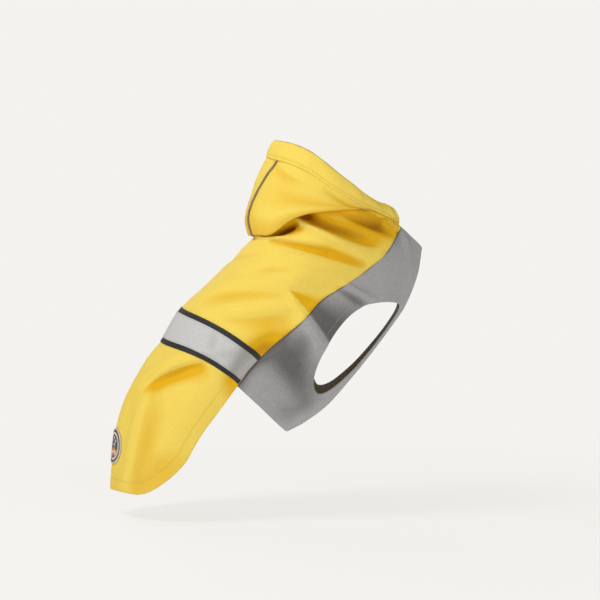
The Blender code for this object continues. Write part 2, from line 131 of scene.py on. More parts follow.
CASING_DRAWN_IN_AT = CASING_SEAM - 0.07
HOOD_SEAM = len(HOOD_RINGS)
HOOD_SEAM_STRIP = 21
HOOD_END = 136
HOOD_NARROWS_FROM = 85
HOOD_STRAIGHTENS_FROM = 98

# Where the piping starts and ends, in levels, how much of its radius it stands above the
# seam, and how many of its steps round off each tip.
PIPING_START = CASING_SEAM - 0.12
PIPING_END = 5.45
PIPING_STANDS = 0.75
PIPING_TIP_STEPS = 3

# Distances between rings, levels and degrees over the cloth, for placing folds.
RING_PITCH = 32 * MM
LEVEL_PITCH = 22 * MM
DEGREE_PITCH = 1.45 * MM

# Where the band and the tape on it lie, in rings, how far their ends drift to the head, and
# how many degrees short of the side seam they stop.
TAPE_DRIFT = 0.40
BAND_RINGS = (6.93, 7.99)
TAPE_RINGS = (7.08, 7.84)
TAPE_END_GAP = 0.35

# A leg hole: its two ends in rings, the angle of its middle line at each end, and how far
# it opens above and below that line, in degrees.
HOLE_FRONT = 2.08
HOLE_REAR = 6.05
HOLE_LINE_FRONT = 157
HOLE_LINE_REAR = 140
HOLE_ABOVE = 29.5
HOLE_BELOW = 15

# The badge's middle, the distance between rings where it is sewn on, and its size.  Its
# woven field and its overlocked rim reach these shares of that size; each lies so far
# above the cloth, and the rim is wider than it is high.
BADGE_RING = 11.55
BADGE_ASIDE = -8.5 * MM
TAIL_RING_PITCH = 35 * MM
BADGE_HEIGHT = 39 * MM
BADGE_WIDTH = 26 * MM
BADGE_FIELD = 0.95
BADGE_LIFT = 1.3 * MM
BADGE_WALL = 1.0 * MM
BADGE_RIM = 0.97
BADGE_RIM_LIFT = 0.9 * MM
BADGE_RIM_RADII = (1.0 * MM, 0.7 * MM)
BADGE_RIM_LENGTH = 128 * MM

# A fold lies on a parabola through three places, each a ring or level and an angle.  It has
# a height at each of them, above 0 for a ridge and below 0 for a trough, and a half-width
# at its start and at its end.  `lean`, if given, widens the side towards the tail and
# narrows the side towards the head.
Fold = namedtuple("Fold", "name start middle end widths_mm heights_mm lean", defaults=(0,))
# Their heights also set the coat's painted shade: below 0 they deepen its colour.
COAT_FOLDS = (
    Fold("right under the hood", (0.45, -66), (0.9, -86), (0.96, -113), (7, 10), (-9, -7.5, -4.2)),
    Fold("right neck", (0.4, -97), (0.47, -112), (0.37, -129), (3.8, 4.4), (-2.2, -4.4, -3), -0.2),
    Fold("right hollow", (1.26, -36), (1.08, -48), (0.84, -57), (7, 8), (-8, -16, -9)),
    Fold("right shoulder ridge", (0.56, -61), (1.3, -88), (1.2, -120), (4, 7), (5, 5.5, 3), 0.3),
    Fold("right lip", (1.28, -22), (1.62, -48), (1.66, -76), (6, 8), (2, 4, 2), 0.3),
    Fold("right trough", (1.84, -43), (1.91, -76), (1.7, -111), (7.5, 7), (-4, -6.2, -3.6), -0.1),
    Fold("right lower swell", (2.7, -44), (2.6, -74), (2.06, -112), (12, 11), (1.5, 2.8, 1.8)),
    Fold("right back fold", (4.55, -44), (4.05, -54), (3.55, -66), (5, 6), (-0.7, -1.4, -0.6), 0.2),
    Fold("right side swell", (5.65, -28), (5.05, -47), (4.42, -71), (10, 9), (0.9, 1.8, 1.4)),
    Fold("right side trough", (6.25, -30), (5.6, -48), (4.74, -74), (9, 9), (-1.1, -2.3, -1.2)),
    Fold("right low swell", (6.15, -50), (5.55, -66), (4.92, -80), (7, 7), (1, 2, 1.1)),
    Fold("right low dip", (6.36, -55), (5.92, -70), (5.22, -84), (6, 7), (-0.9, -1.8, -1.2), 0.1),
    Fold("right pull edge", (4.5, -76), (4.8, -94), (4.98, -114), (3, 7), (0.8, 2.6, 2.6), 0.45),
    Fold("right along the seam", (5.6, -91), (6.9, -88), (7.8, -96), (8, 13), (-2, -6, -3)),
    Fold("right tail swell", (9.1, -20), (8.15, -40), (7.55, -62), (11, 8), (2, 4, 2.4), 0.3),
    Fold("right tail edge", (9.52, -25), (8.5, -41), (7.76, -61), (3, 4), (0.5, 1.2, 0.7)),
    Fold("right tail fold", (9.46, -28), (8.62, -45), (7.88, -63), (6, 9), (-1.8, -4.4, -2.6), 0.6),
    Fold("right tail plane", (9.6, -31), (11, -29), (12.8, -25), (8, 9), (2, 3.6, 2.4)),
    Fold("right tail side", (9.6, -78), (10.8, -66), (12, -48), (14, 12), (0.6, 1.4, 0.8)),
    Fold("right chest rise", (2.7, -103), (2.68, -114), (2.56, -130), (6, 6), (1.4, 2.8, 1.6), 0.2),
    Fold("right bib dip", (3.08, -104), (3.02, -116), (2.94, -127), (6, 6), (-1.6, -3, -1.6), -0.2),
    Fold("right throat", (0.2, -140), (0.55, -148), (1.5, -153), (6, 7), (1.8, 2.6, 1.2)),
    Fold("right belly", (6.2, -96), (6.15, -114), (6.2, -132), (20, 20), (-1.4, -2.6, -1.4)),
    Fold("right belly hem", (6.6, -104), (6.75, -128), (6.85, -152), (9, 9), (0.6, 1.4, 0.8)),
    Fold("across the withers", (4.2, 26), (4.62, -2), (3.6, -32), (9, 8), (-0.5, -1.3, -0.8)),
    Fold("across the loin", (8.6, 20), (8.4, 0), (8.72, -16), (12, 10), (0.4, 1, 0.4)),
    Fold("left under the hood", (0.55, 70), (0.82, 94), (0.62, 118), (8, 9), (-2, -3.2, -2)),
    Fold("left hollow", (0.86, 34), (1, 50), (1.14, 66), (8, 8), (-6, -11, -6)),
    Fold("left shoulder ridge", (0.95, 62), (1.4, 88), (1.42, 120), (9, 8), (3.5, 4, 2), 0.3),
    Fold("left trough", (1.86, 46), (2.05, 76), (1.92, 106), (8, 9), (-3, -5.2, -3), 0.2),
    Fold("left shoulder swell", (2.9, 38), (2.62, 70), (2.5, 104), (11, 12), (1.2, 2, 1)),
    Fold("left back fold", (4.1, 36), (3.85, 50), (3.3, 60), (6, 6), (-0.6, -1.2, -0.5)),
    Fold("left side trough", (5.9, 34), (5.55, 56), (4.95, 78), (10, 9), (-1.8, -3.8, -2)),
    Fold("left side swell", (6.4, 60), (6.05, 74), (5.6, 86), (8, 8), (1.4, 2.8, 1.4)),
    Fold("left pull edge", (4.95, 80), (5.1, 97), (5.16, 116), (4, 7), (0.6, 2, 1.8), 0.4),
    Fold("left tail fold", (9.2, 34), (8.78, 54), (8.1, 76), (6, 8), (-2.2, -5.6, -2.2), 0.4),
    Fold("left tail swell", (8.8, 22), (8.3, 44), (7.66, 66), (10, 10), (1.6, 3.6, 1.8)),
    Fold("left tail plane", (9.4, 35), (10.8, 31), (12.8, 25), (9, 9), (0.8, 1.6, 1)),
    Fold("left chest rise", (2.6, 108), (2.52, 118), (2.48, 130), (7, 7), (0.6, 1.6, 0.8)),
    Fold("left bib dip", (3.2, 106), (3.2, 116), (3.1, 127), (7, 7), (-0.8, -1.6, -0.8)),
    Fold("left throat", (0.25, 142), (0.7, 150), (1.7, 156), (7, 7), (1, 1.4, 0.6)),
    Fold("left belly", (5.6, 106), (5.95, 122), (6.25, 138), (9, 9), (-0.8, -2, -1)),
    Fold("belly middle", (4.2, 176), (5.6, 183), (7.1, 178), (12, 14), (-0.6, -1.4, -0.6)),
)

# These lie in the same way, but change only the colour: they are painted shade and
# painted shadow, which deepen the colour below 0, as under the hood's rim, in creases and
# on the belly.
COAT_SHADES = (
    Fold("right tail facet", (9.4, -28), (8.66, -43), (7.86, -62), (5, 9), (-1.2, -2.5, -1.8), 0.8),
    Fold("right belly", (6.05, -90), (6.3, -114), (6.8, -138), (20, 20), (-3.2, -1.6, -3.2)),
    Fold("right pull foot", (4.95, -102), (5.35, -104), (5.8, -107), (11, 14), (-1.2, -2.1, -1.3)),
    Fold("right under the rim", (0.46, -60), (0.3, -88), (0.24, -118), (6, 8), (-5, -4, -5.2)),
    Fold("right tail end", (12, -68), (12.2, -46), (13.4, -16), (38, 36), (-1.7, -2.1, -1.2)),
    Fold("right tail middle", (9.7, -28), (10.4, -42), (11.2, -54), (26, 30), (-1.3, -1.6, -0.9)),
    Fold("right rim foot", (0.98, -88), (0.82, -102), (0.5, -124), (11, 14), (-0.5, -1.7, -1.3)),
    Fold("right hollow side", (1.3, -56), (1.2, -62), (1.05, -67), (5, 5), (-2.6, -3.2, -2.6)),
    Fold("right along the seam", (5.4, -88), (5.8, -88), (6.2, -87), (8, 8), (0.8, 2, 0.8)),
    Fold("right neck end", (0.3, -108), (0.25, -120), (0.2, -132), (12, 12), (-0.8, -1.8, -2.2)),
)

# Their heights also set the hood's painted shade: below 0 they deepen its colour.
HOOD_FOLDS = (
    Fold("right rim fold", (1.4, -33), (1.64, -47), (1.78, -60), (3.5, 5), (-0.8, -1.5, -0.8), 0.3),
    Fold("right rim swell", (1.22, -38), (1.36, -50), (1.44, -60), (4, 4), (0.4, 0.9, 0.5)),
    Fold("right soft hollow", (2.3, -44), (2.9, -62), (3.2, -86), (9, 11), (-0.4, -1.2, -0.6)),
    Fold("right swell", (3.4, -30), (3.8, -52), (4.1, -80), (11, 12), (0.6, 1.3, 0.6)),
    Fold("right front pull", (1.6, -82), (2.6, -98), (4.2, -112), (6, 8), (-0.8, -1.8, -1)),
    Fold("middle dent", (2.1, 8), (2.9, -2), (3.8, 4), (10, 11), (-0.4, -1, -0.4)),
    Fold("left rim fold", (1.5, 40), (1.86, 54), (2.05, 72), (5, 6), (-0.8, -1.8, -0.8), 0.3),
    Fold("left soft hollow", (2.6, 36), (3.2, 56), (3.5, 80), (10, 10), (-0.5, -1.4, -0.6)),
    Fold("left swell", (3.9, 30), (4.3, 54), (4.4, 84), (10, 10), (0.5, 1.2, 0.6)),
    Fold("left front pull", (1.9, 86), (2.9, 102), (4.4, 114), (7, 8), (-0.8, -1.6, -0.8)),
)

# The band's and the tape's creases; their heights also deepen the strips' colour as painted
# shade.
TAPE_FOLDS = (
    Fold("right slant", (6.9, -44), (7.2, -50), (7.72, -56), (4, 5), (0.1, 0.3, 0.2), -0.3),
    Fold("right dip", (6.8, -56), (7.1, -62), (7.5, -64), (5, 5), (-0.15, -0.45, -0.3), 0.3),
    Fold("right long dip", (7.64, -60), (7.22, -72), (6.74, -80), (4, 5), (-0.1, -0.35, -0.2), 0.2),
    Fold("middle slant", (7.08, -14), (7.4, -10), (7.8, -12), (4, 4), (-0.15, -0.3, -0.15)),
    Fold("left slant", (6.95, 40), (7.2, 46), (7.66, 56), (5, 5), (-0.15, -0.4, -0.25), 0.3),
    Fold("left dip", (6.75, 66), (7.05, 70), (7.45, 80), (5, 6), (-0.15, -0.35, -0.2)),
)

# A fold's line is read as this many straight spans.
FOLD_SPANS = 10

# A dart is cloth pulled in from a point, between a crisp ridge and a valley that both start
# there.  Its places are on the side it lies on, so their angles count up from the back.
Dart = namedtuple("Dart", "name side apex ridge valley depth_mm reach_mm")
COAT_DARTS = (
    Dart("right pull", -1, (4.40, 73), (4.80, 108), (3.72, 98), 13, 40),
    Dart("left pull", 1, (4.78, 77), (5.00, 108), (4.22, 102), 9, 40),
)
# The rings and the angles over which darts set in and die away, and the share of the turn
# from ridge to valley at which the depth and the shade do so; the shade is as deep as in a
# trough of this depth, and sets in over a short way from the apex.
DART_NECK_FADES = (0.8, 2.6)
DART_FADES = (118, 150)
DART_DEPTH_FADES = (1, 2.5)
DART_SHADE = 5.0 * MM
DART_SHADE_STARTS = (-0.02, 0.10)
DART_SHADE_FADES = (0.2, 1.3)
DART_APEX_BLUR = 6 * MM

# Gathers lie over a span of angles at the neck's front ends.  The stitched grooves between
# them are at these rows, and the gathers die away between two more.
GATHER_ANGLES = (104, 118)
Gathers = namedtuple("Gathers", "rows half_width fades")
HOOD_GATHERS = Gathers((1.1, 2.7, 4.3), 0.22, (5.6, 6.2))
COAT_GATHERS = Gathers((0.10, 0.24), 0.025, (0.26, 0.42))

# A groove is a bell-shaped dip along a line.  The one past the side seam is only painted
# shade: a dark line on the grey beside the yellow edge, where shade falls.
Groove = namedtuple("Groove", "depth half_width")
SIDE_SEAM_ROLL = Groove(0.4 * MM, 1.2 * MM)
NECK_SEAM_ROLL = Groove(0.5 * MM, 1.6 * MM)
HOOD_SEAM_DIP = Groove(0.5 * MM, 1.8 * MM)
SIDE_SEAM_SHADE = Groove(4.0 * MM, 1.0 * MM)
SIDE_SEAM_SHADE_PAST = 0.3 * MM
CASING_STITCH_HALF_WIDTH = 1.1 * MM

# The yellow edge lies over the grey at the side seams: over what width it comes down to
# the cloth below, and how far and over what width the grey dips under it.
SHELL_LAP_FADES = (2 * MM, 9 * MM)
KNIT_LAP_DIP = 2.0 * MM
KNIT_LAP_FADES = (-2.4 * MM, -0.2 * MM)

# The side seam ends softly at the belly hem, over so many rings to each side of it.
SEAM_END_FADE = 0.1

# The cloth's slight unevenness, from broad to fine, and the ruffles beside seams.
RIPPLE_HEIGHTS_MM = (0.30, 0.16, 0.05)
RIPPLE_FADES = (150, 178)
PUCKER_HEIGHT = 0.20 * MM
CASING_PUCKER_HEIGHT = 0.25 * MM
PUCKER_REACH = 5 * MM

# How finely the cloth is divided: steps along a piece, columns on half its width, points
# of an edge or a row of stitches.  A cut edge is rounded in so many steps; close to it the
# columns lie at these shares of the half width, and the rows at these of a step.  Points
# closer together than WELD are one.
BACK_STEPS, BACK_COLUMNS, TAIL_ROWS = 210, 62, 22
BIB_STEPS, HOLE_STEPS, REAR_STEPS, SIDE_COLUMNS, BELLY_COLUMNS = 36, 90, 30, 44, 85
STRIP_STEPS, STRIP_COLUMNS = 25, 44
HOOD_STEPS, HOOD_STRIP_COLUMNS, HOOD_SIDE_COLUMNS = 84, 16, 60
CASING_ROWS, CASING_COLUMNS = 22, 110
BADGE_STEPS, BADGE_RIM_STEPS, BADGE_RIM_SIDES = 41, 160, 10
PIPING_STEPS, PIPING_SIDES = 150, 12
FLAP_SIDE_POINTS, FLAP_HEM_POINTS = 220, 90
HOLE_EDGE_POINTS, NECK_EDGE_POINTS, BELLY_EDGE_POINTS = 241, 80, 160
CASING_ROW_POINTS, NECK_ROW_POINTS, BELLY_ROW_POINTS, STRIP_ROW_POINTS = 400, 120, 200, 240
RIM_STEPS = 3
EDGE_SHARES = (0, 0.004, 0.009, 0.015, 0.023, 0.033, 0.045, 0.06)
END_STEP_SHARES = (0.12, 0.3, 0.6)
WELD = 0.002 * MM

# Steps in rings, levels and degrees for reading a surface's slope.
NORMAL_STEP = 0.02
INSET_STEP = 0.01

# The grey cloth's columns beside the side seam, in millimetres under the yellow cloth and,
# below 0, past it; the yellow cloth ends so many of its walls short of the seam.
KNIT_LAP_MM = (7, 5, 3, 1.6, 0.8, 0.2, 0, -0.3, -0.8, -1.5, -2.4, -3.4)
SEWN_EDGE_GAP = 0.45
FREE_EDGE_GAP = 0.5

# How a hood piece goes under its neighbours: the levels inside the casing, the columns
# beside the centre strip in millimetres past its seam, and how deep and how softly both
# lie under.  Below the neckline it goes on under the coat at these rings and depths.
HOOD_LEVELS_IN_CASING = (0.62, 0.72, 0.85, 0.94)
HOOD_CASING_FADES = (0.90, 1.02)
HOOD_LAP_MM = (-6, -4.5, -3, -1.6, -0.6, 0, 0.5, 1.1, 2, 3)
HOOD_LAP_FADES = (-1.2 * MM, 1.6 * MM)
HOOD_LAP_DEPTH = 1.25 * MM
HOOD_STRIP_GAP = 0.25
HOOD_END_SHARES = (0.985, 0.993, 1.0)
HOOD_TUCK_RINGS = (0.035, 0.08, 0.14, 0.2)
HOOD_TUCK_DEPTHS_MM = (1.3, 1.7, 1.7, 1.7)

# Painted shade: the hood's colour is deeper than the form's folds make it, and more so at
# lower levels, which turn down away from the light.
HOOD_SHADE_MM = (0.5, 1.9)
HOOD_SHADE_LEVELS = (2.0, 4.6)

# Painted shade: the tape's colour deepens in its creases as if they were so many times as
# deep.
TAPE_SHADE = 4

# How deep the hems are turned, over what width they thin out, and how far inside that the
# stitches run.  A piece without a hem counts as NO_HEM away from one, and distances are
# measured between so many pairs of points at a time.
HEM_DEPTH = 13 * MM
HOLE_HEM_DEPTH = 8 * MM
HEM_FADE = 1.5 * MM
STITCH_INSET = 1 * MM
NO_HEM = 1.0
MOST_PAIRS = 4_000_000

# A hem's relief in its material: the groove of its stitches, the edge of the turned layer
# past them, how high both stand in millimetres, and how much painted shade darkens the
# groove.
HEM_GROOVE_HALF_WIDTH = 1.1 * MM
HEM_STEP_SPAN = (-0.5 * MM, 2.2 * MM)
HEM_STEP_HEIGHT = 0.30
HEM_BUMP = 0.11
HEM_GROOVE_SHADE = 0.98

# Stitches: their distance, length and form; how far inside a piece's edge they run, in
# rings on the strips and in levels on the casing; and how many degrees, or points of their
# line, they leave out at both ends.
STITCH_PITCH = 3.3 * MM
STITCH_LENGTH = 2.7 * MM
STITCH_STATIONS = 5
STITCH_SIDES = 6
BAND_STITCH_INSET = 0.03
TAPE_STITCH_INSET = 0.035
CASING_STITCH_INSET = 0.06
CASING_STITCH_LIFT = 0.1 * MM
TAPE_ROW_GAP = 0.6
CASING_ROW_GAP = 1
NECK_ROW_GAP = 3
BELLY_ROW_GAP = 2
HEM_ROW_SKIPS = 8
HOLE_ROW_SKIPS = 2

# The camera looks along +Y and a little down at this point, in metres and degrees, and
# sees HALF_VIEW to each side of it.
LOOKED_AT = (0.0580, 0.0, -0.0591)
CAMERA_DISTANCE = 2.6
CAMERA_ELEVATION = 4.0
HALF_VIEW = 0.330
SENSOR = 36.0
CLIP_END = 100

# The floor, in metres, and over what distance from the origin it takes the backdrop's
# brightness; and how strong the world's even light is.
FLOOR_Z = -0.297
FLOOR_RADIUS = 8.0
FLOOR_RINGS, FLOOR_SIDES = 24, 64
FLOOR_FADES = (0.15, 0.9)
FILL_STRENGTH = 0.16


def light_of(red, green, blue):
    """Turn a display colour, 0 to 255, into linear light (the sRGB curve) with alpha 1."""
    display = np.array((red, green, blue)) / 255
    linear = np.where(display > 0.04045, ((display + 0.055) / 1.055) ** 2.4, display / 12.92)
    return (*linear.tolist(), 1.0)


BACKDROP = light_of(244, 242, 238)
FILL = light_of(252, 246, 236)


def make_camera():
    """Put the camera on the line that rises from the looked-at point at its elevation."""
    turn = np.radians(CAMERA_ELEVATION)
    data = bpy.data.cameras.new("camera")
    data.sensor_width = SENSOR
    data.lens = SENSOR / 2 * CAMERA_DISTANCE / HALF_VIEW
    data.dof.use_dof = False
    data.clip_end = CLIP_END
    camera = bpy.data.objects.new("camera", data)
    camera.location = (
        LOOKED_AT[0],
        LOOKED_AT[1] - CAMERA_DISTANCE * np.cos(turn),
        LOOKED_AT[2] + CAMERA_DISTANCE * np.sin(turn),
    )
    camera.rotation_euler = (np.pi / 2 - turn, 0, 0)
    bpy.context.scene.collection.objects.link(camera)
    bpy.context.scene.camera = camera


# ---------------------------------------------------------------- shapes of the coat


def column(table, name):
    """Return one column of a table of named rows as an array."""
    return np.array([getattr(row, name) for row in table], dtype=float)


def with_ends(rows):
    """Go on straight past both ends of some rows, by one row each."""
    return np.stack([2 * rows[0] - rows[1], *rows, 2 * rows[-1] - rows[-2]])


def catmull_rom(before, start, end, after, part):
    """Read the Catmull-Rom curve from start to end, given the values beside them."""
    bend = 2 * before - 5 * start + 4 * end - after
    twist = 3 * start - before - 3 * end + after
    return 0.5 * (2 * start + (end - before) * part + bend * part**2 + twist * part**3)


def along_rows(values, at):
    """Read evenly spaced values at fractional rows, on a Catmull-Rom curve."""
    last = len(values) - 1
    at = np.clip(at, 0, last)
    low = np.minimum(at.astype(int), last - 1)
    padded = with_ends(values)
    return catmull_rom(*(padded[low + shift] for shift in range(4)), at - low)


def through_knots(knots, values, at):
    """Read a smooth curve through unevenly spaced knots (cubic Hermite spans)."""
    knots = np.asarray(knots, dtype=float)
    values = np.asarray(values, dtype=float)
    spans = np.diff(knots)
    slopes = np.diff(values) / spans
    tangents = np.concatenate(([slopes[0]], slopes[:-1], [slopes[-1]]))
    mixed = slopes[:-1] * spans[1:] + slopes[1:] * spans[:-1]
    tangents[1:-1] = mixed / (spans[:-1] + spans[1:])
    at = np.clip(at, knots[0], knots[-1])
    low = np.clip(np.searchsorted(knots, at, side="right") - 1, 0, len(spans) - 1)
    part = (at - knots[low]) / spans[low]
    rise = 3 * part**2 - 2 * part**3
    leave = (part - 2 * part**2 + part**3) * spans[low] * tangents[low]
    arrive = (part**3 - part**2) * spans[low] * tangents[low + 1]
    return values[low] + rise * (values[low + 1] - values[low]) + leave + arrive


def smooth_step(low, high, at):
    """Rise from 0 to 1 between two values, level at both ends."""
    part = np.clip((at - low) / (high - low), 0, 1)
    return part * part * (3 - 2 * part)


def bell(at, half_width):
    """Return 1 at zero, falling off as exp(-(at / half_width) squared)."""
    return np.exp(-((at / half_width) ** 2))


def signed_angle(angle):
    """Bring an angle into -180 to 180, measured from the back."""
    return (angle + 180) % 360 - 180


def unit(vectors):
    """Scale vectors to length 1."""
    return vectors / np.linalg.norm(vectors, axis=-1, keepdims=True)


def dot(first, second):
    """Return the dot products of two arrays of vectors."""
    return (first * second).sum(-1)


def coat_form(ring, angle):
    """Place points on the coat without its folds.

    A point goes along the straight line from the ring's place on the back to that on the
    underside by (1 - cos angle) / 2, and sideways by half_width * sin angle.  `bow` shifts
    it square to that line by its sine squared, and `lift` raises it.  `peak` moves both
    slopes of the back towards the underside, so that the middle stands up as a roof.
    """
    values = {name: along_rows(column(COAT_RINGS, name), ring) for name in Ring._fields[1:]}
    turn = np.radians(angle)
    side = np.abs(np.sin(turn))
    share = (1 - np.cos(turn)) / 2
    roof = np.sqrt(side**2 + PEAK_ROUNDING**2) - PEAK_ROUNDING
    share = share + values["peak"] * roof * (1 - side) * (np.cos(turn) > 0)
    across_x = values["under_x"] - values["back_x"]
    across_z = values["under_z"] - values["back_z"]
    bow = values["bow"] * side**2 / np.hypot(across_x, across_z)
    away = np.abs(signed_angle(angle))
    lift = values["lift"] * through_knots(LIFT_ANGLES, LIFT_SHARES, away)
    x = values["back_x"] + across_x * share - across_z * bow
    y = values["half_width"] * np.sin(turn)
    z = values["back_z"] + across_z * share + across_x * bow + lift
    return np.stack((x, y, z), axis=-1) * MM


def hood_ring(row, angle):
    """Place points on one of the hood's rings; its front ends come in to the neck."""
    away = np.abs(signed_angle(angle))
    turn = np.radians(angle)
    share = (1 - np.cos(turn)) / 2
    rises = (row.rise_25, 0, *row[RISE_COLUMNS], 0, 0)
    narrowing = smooth_step(HOOD_NARROWS_FROM, HOOD_END, away)
    width = row.half_width + (COAT_RINGS[NECKLINE].half_width - row.half_width) * narrowing
    x = row.back_x + (row.under_x - row.back_x) * share
    z = row.back_z + (row.under_z - row.back_z) * share + through_knots(RISE_ANGLES, rises, away)
    return np.stack((x, width * np.sin(turn), z), axis=-1) * MM


def hood_form(level, angle):
    """Place points on the hood, from level 0 at the rim to HOOD_SEAM at the neckline.

    The levels are joined by a Catmull-Rom curve whose last row is the coat's neckline.
    Towards its front ends the cloth lies straight from the casing seam to the neckline.
    """
    shape = np.shape(level)
    level, angle = np.ravel(level), np.ravel(angle)
    neckline = coat_form(np.full_like(angle, NECKLINE), angle)
    rows = [hood_ring(row, angle) for row in HOOD_RINGS] + [neckline]
    away = np.abs(signed_angle(angle))
    straightening = smooth_step(HOOD_STRAIGHTENS_FROM, HOOD_END, away)[:, None]
    drop = rows[HOOD_SEAM] - rows[CASING_SEAM]
    for index in range(CASING_SEAM + 1, HOOD_SEAM):
        share = (index - CASING_SEAM) / (HOOD_SEAM - CASING_SEAM)
        straight = rows[CASING_SEAM] + drop * share
        rows[index] = rows[index] + (straight - rows[index]) * straightening
    padded = with_ends(rows)
    low = np.clip(level.astype(int), 0, HOOD_SEAM - 1)
    pick = np.arange(len(level))
    near = (padded[low + shift, pick] for shift in range(4))
    return catmull_rom(*near, (level - low)[:, None]).reshape(*shape, 3)


def outward(form, row, angle):
    """Return the outward unit normals of a form, from small steps along and round it."""
    top = TAIL_HEM if form is coat_form else HOOD_SEAM
    along = form(np.clip(row + NORMAL_STEP, 0, top), angle)
    along = along - form(np.clip(row - NORMAL_STEP, 0, top), angle)
    around = form(row, angle + 1) - form(row, angle - 1)
    return unit(np.cross(around, along))


def raised(form, row, angle, height):
    """Place points at a height above a form, along its outward normals."""
    return form(row, angle) + outward(form, row, angle) * height[..., None]


def seam_angle(ring):
    """Return the angle from the back at which the yellow cloth ends.

    Over the last rings the side's line turns into a quarter of an ellipse, which rounds
    the corner of the hem.
    """
    side = along_rows(column(COAT_RINGS, "edge"), ring)
    turned = np.clip(1 - (TAIL_HEM - ring) / HEM_CORNER_RINGS, 0, 1)
    return HEM_CORNER_ANGLE + (side - HEM_CORNER_ANGLE) * np.sqrt(1 - turned**2)


def strip_angle(level):
    """Return the angle of the seams beside the hood's centre strip."""
    return along_rows(np.append(column(HOOD_RINGS, "strip"), HOOD_SEAM_STRIP), level)


def hole_line(ring):
    """Return the angle of a leg hole's middle line."""
    part = (ring - HOLE_FRONT) / (HOLE_REAR - HOLE_FRONT)
    return HOLE_LINE_FRONT + (HOLE_LINE_REAR - HOLE_LINE_FRONT) * part


def hole_opening(ring):
    """Return how open a leg hole is at a ring: 0 at its ends and outside it, 1 midway."""
    part = (2 * ring - HOLE_FRONT - HOLE_REAR) / (HOLE_REAR - HOLE_FRONT)
    return np.sqrt(np.maximum(1 - part**2, 0))


# ---------------------------------------------------------------- relief of the cloth


def parabola(values, share):
    """Read the parabola that passes through three values at shares 0, 1/2 and 1."""
    first = (1 - share) * (1 - 2 * share)
    last = share * (2 * share - 1)
    return first * values[0] + 4 * share * (1 - share) * values[1] + last * values[2]


def fold_relief(folds, row, angle, row_pitch):
    """Add up the heights of the folds.

    Each fold is a parabola through its three places, cut into straight spans.  A point's
    nearest span gives the share t along the fold and the distance d across it.  The height
    is the parabola through the three heights at t, times exp(-(d / w) squared), where w goes
    from one width to the other with t and is wider by `lean` on the side towards the tail.
    """
    shape = np.shape(row)
    pitches = np.array((row_pitch, DEGREE_PITCH))
    row, angle = np.ravel(row), np.ravel(angle)
    pick = np.arange(len(row))
    total = np.zeros(len(row))
    knots = np.linspace(0, 1, FOLD_SPANS + 1)[:, None]
    for fold in folds:
        path = parabola(np.array((fold.start, fold.middle, fold.end)) * pitches, knots)
        heads, runs = path[:-1], np.diff(path, axis=0)
        around = fold.middle[1] + signed_angle(angle - fold.middle[1])
        apart = (np.stack((row, around), axis=-1) * pitches)[:, None] - heads
        lengths = np.linalg.norm(runs, axis=1)
        along = np.clip(dot(apart, runs) / lengths**2, 0, 1)
        away = apart - along[..., None] * runs
        distance = np.linalg.norm(away, axis=-1)
        nearest = distance.argmin(axis=1)
        distance, away = distance[pick, nearest], away[pick, nearest]
        share = (nearest + along[pick, nearest]) / FOLD_SPANS
        heading = (runs / lengths[:, None])[nearest]
        tailward = np.where(heading[:, 1] < 0, 1, -1)
        side = tailward * (heading[:, 0] * away[:, 1] - heading[:, 1] * away[:, 0])
        side = side / np.maximum(distance, MM)
        width = np.interp(share, (0, 1), fold.widths_mm) * (1 + fold.lean * side)
        height = parabola(np.array(fold.heights_mm)[:, None], share[:, None])[:, 0]
        total += height * MM * bell(distance, width * MM)
    return total.reshape(shape)


def dart_relief(ring, angle):
    """Add up the depths of the darts, and how deep in the shade their faces lie.

    Seen from the apex, `turn` goes from 0 on the ridge's line to 1 on the valley's.  The
    depth grows evenly from 0 at the ridge to its most at the valley and dies away smoothly
    past it.  It grows with the distance from the apex as 1 - exp(-distance / reach).  The
    shade sets in at the ridge, and dies away smoothly towards and past the valley.  Both
    die away towards the neckline and the underside.
    """
    away = signed_angle(angle)
    kept = (1 - smooth_step(*DART_FADES, np.abs(away))) * smooth_step(*DART_NECK_FADES, ring)
    height, shade = np.zeros(np.shape(kept)), np.zeros(np.shape(kept))
    pitches = np.array((RING_PITCH, DEGREE_PITCH))
    for dart in COAT_DARTS:
        apex, *lines = (np.array(at) * pitches for at in (dart.apex, dart.ridge, dart.valley))
        first, last = (np.arctan2(apex[0] - at[0], at[1] - apex[1]) for at in lines)
        x = ring * RING_PITCH - apex[0]
        y = away * dart.side * DEGREE_PITCH - apex[1]
        turn = (np.arctan2(-x, y) - first) / (last - first)
        distance = np.hypot(x, y)
        grown = kept * (1 - np.exp(-distance / (dart.reach_mm * MM)))
        faded = 1 - smooth_step(*DART_DEPTH_FADES, turn)
        height -= dart.depth_mm * MM * grown * np.clip(turn, 0, 1) * faded
        starts = smooth_step(*DART_SHADE_STARTS, turn)
        face = starts * (1 - smooth_step(*DART_SHADE_FADES, turn))
        shade -= DART_SHADE * kept * smooth_step(0, DART_APEX_BLUR, distance) * face
    return height, shade


def coat_shade(ring, angle):
    """How high or deep a place on the coat lies for its painted shade, in metres: the heights of
    its folds and painted shades, and the painted shade of its darts."""
    folds = fold_relief(COAT_FOLDS + COAT_SHADES, ring, angle, RING_PITCH)
    return folds + dart_relief(ring, angle)[1]


def groove_depth(groove, distance):
    """Return how deep a groove is at a distance from its line."""
    return groove.depth * bell(distance, groove.half_width)


def uneven_wave(phase, swing, slow_phase):
    """A sine whose phase is swung by a slower sine, so that its waves are uneven."""
    return np.sin(phase + swing * np.sin(slow_phase))


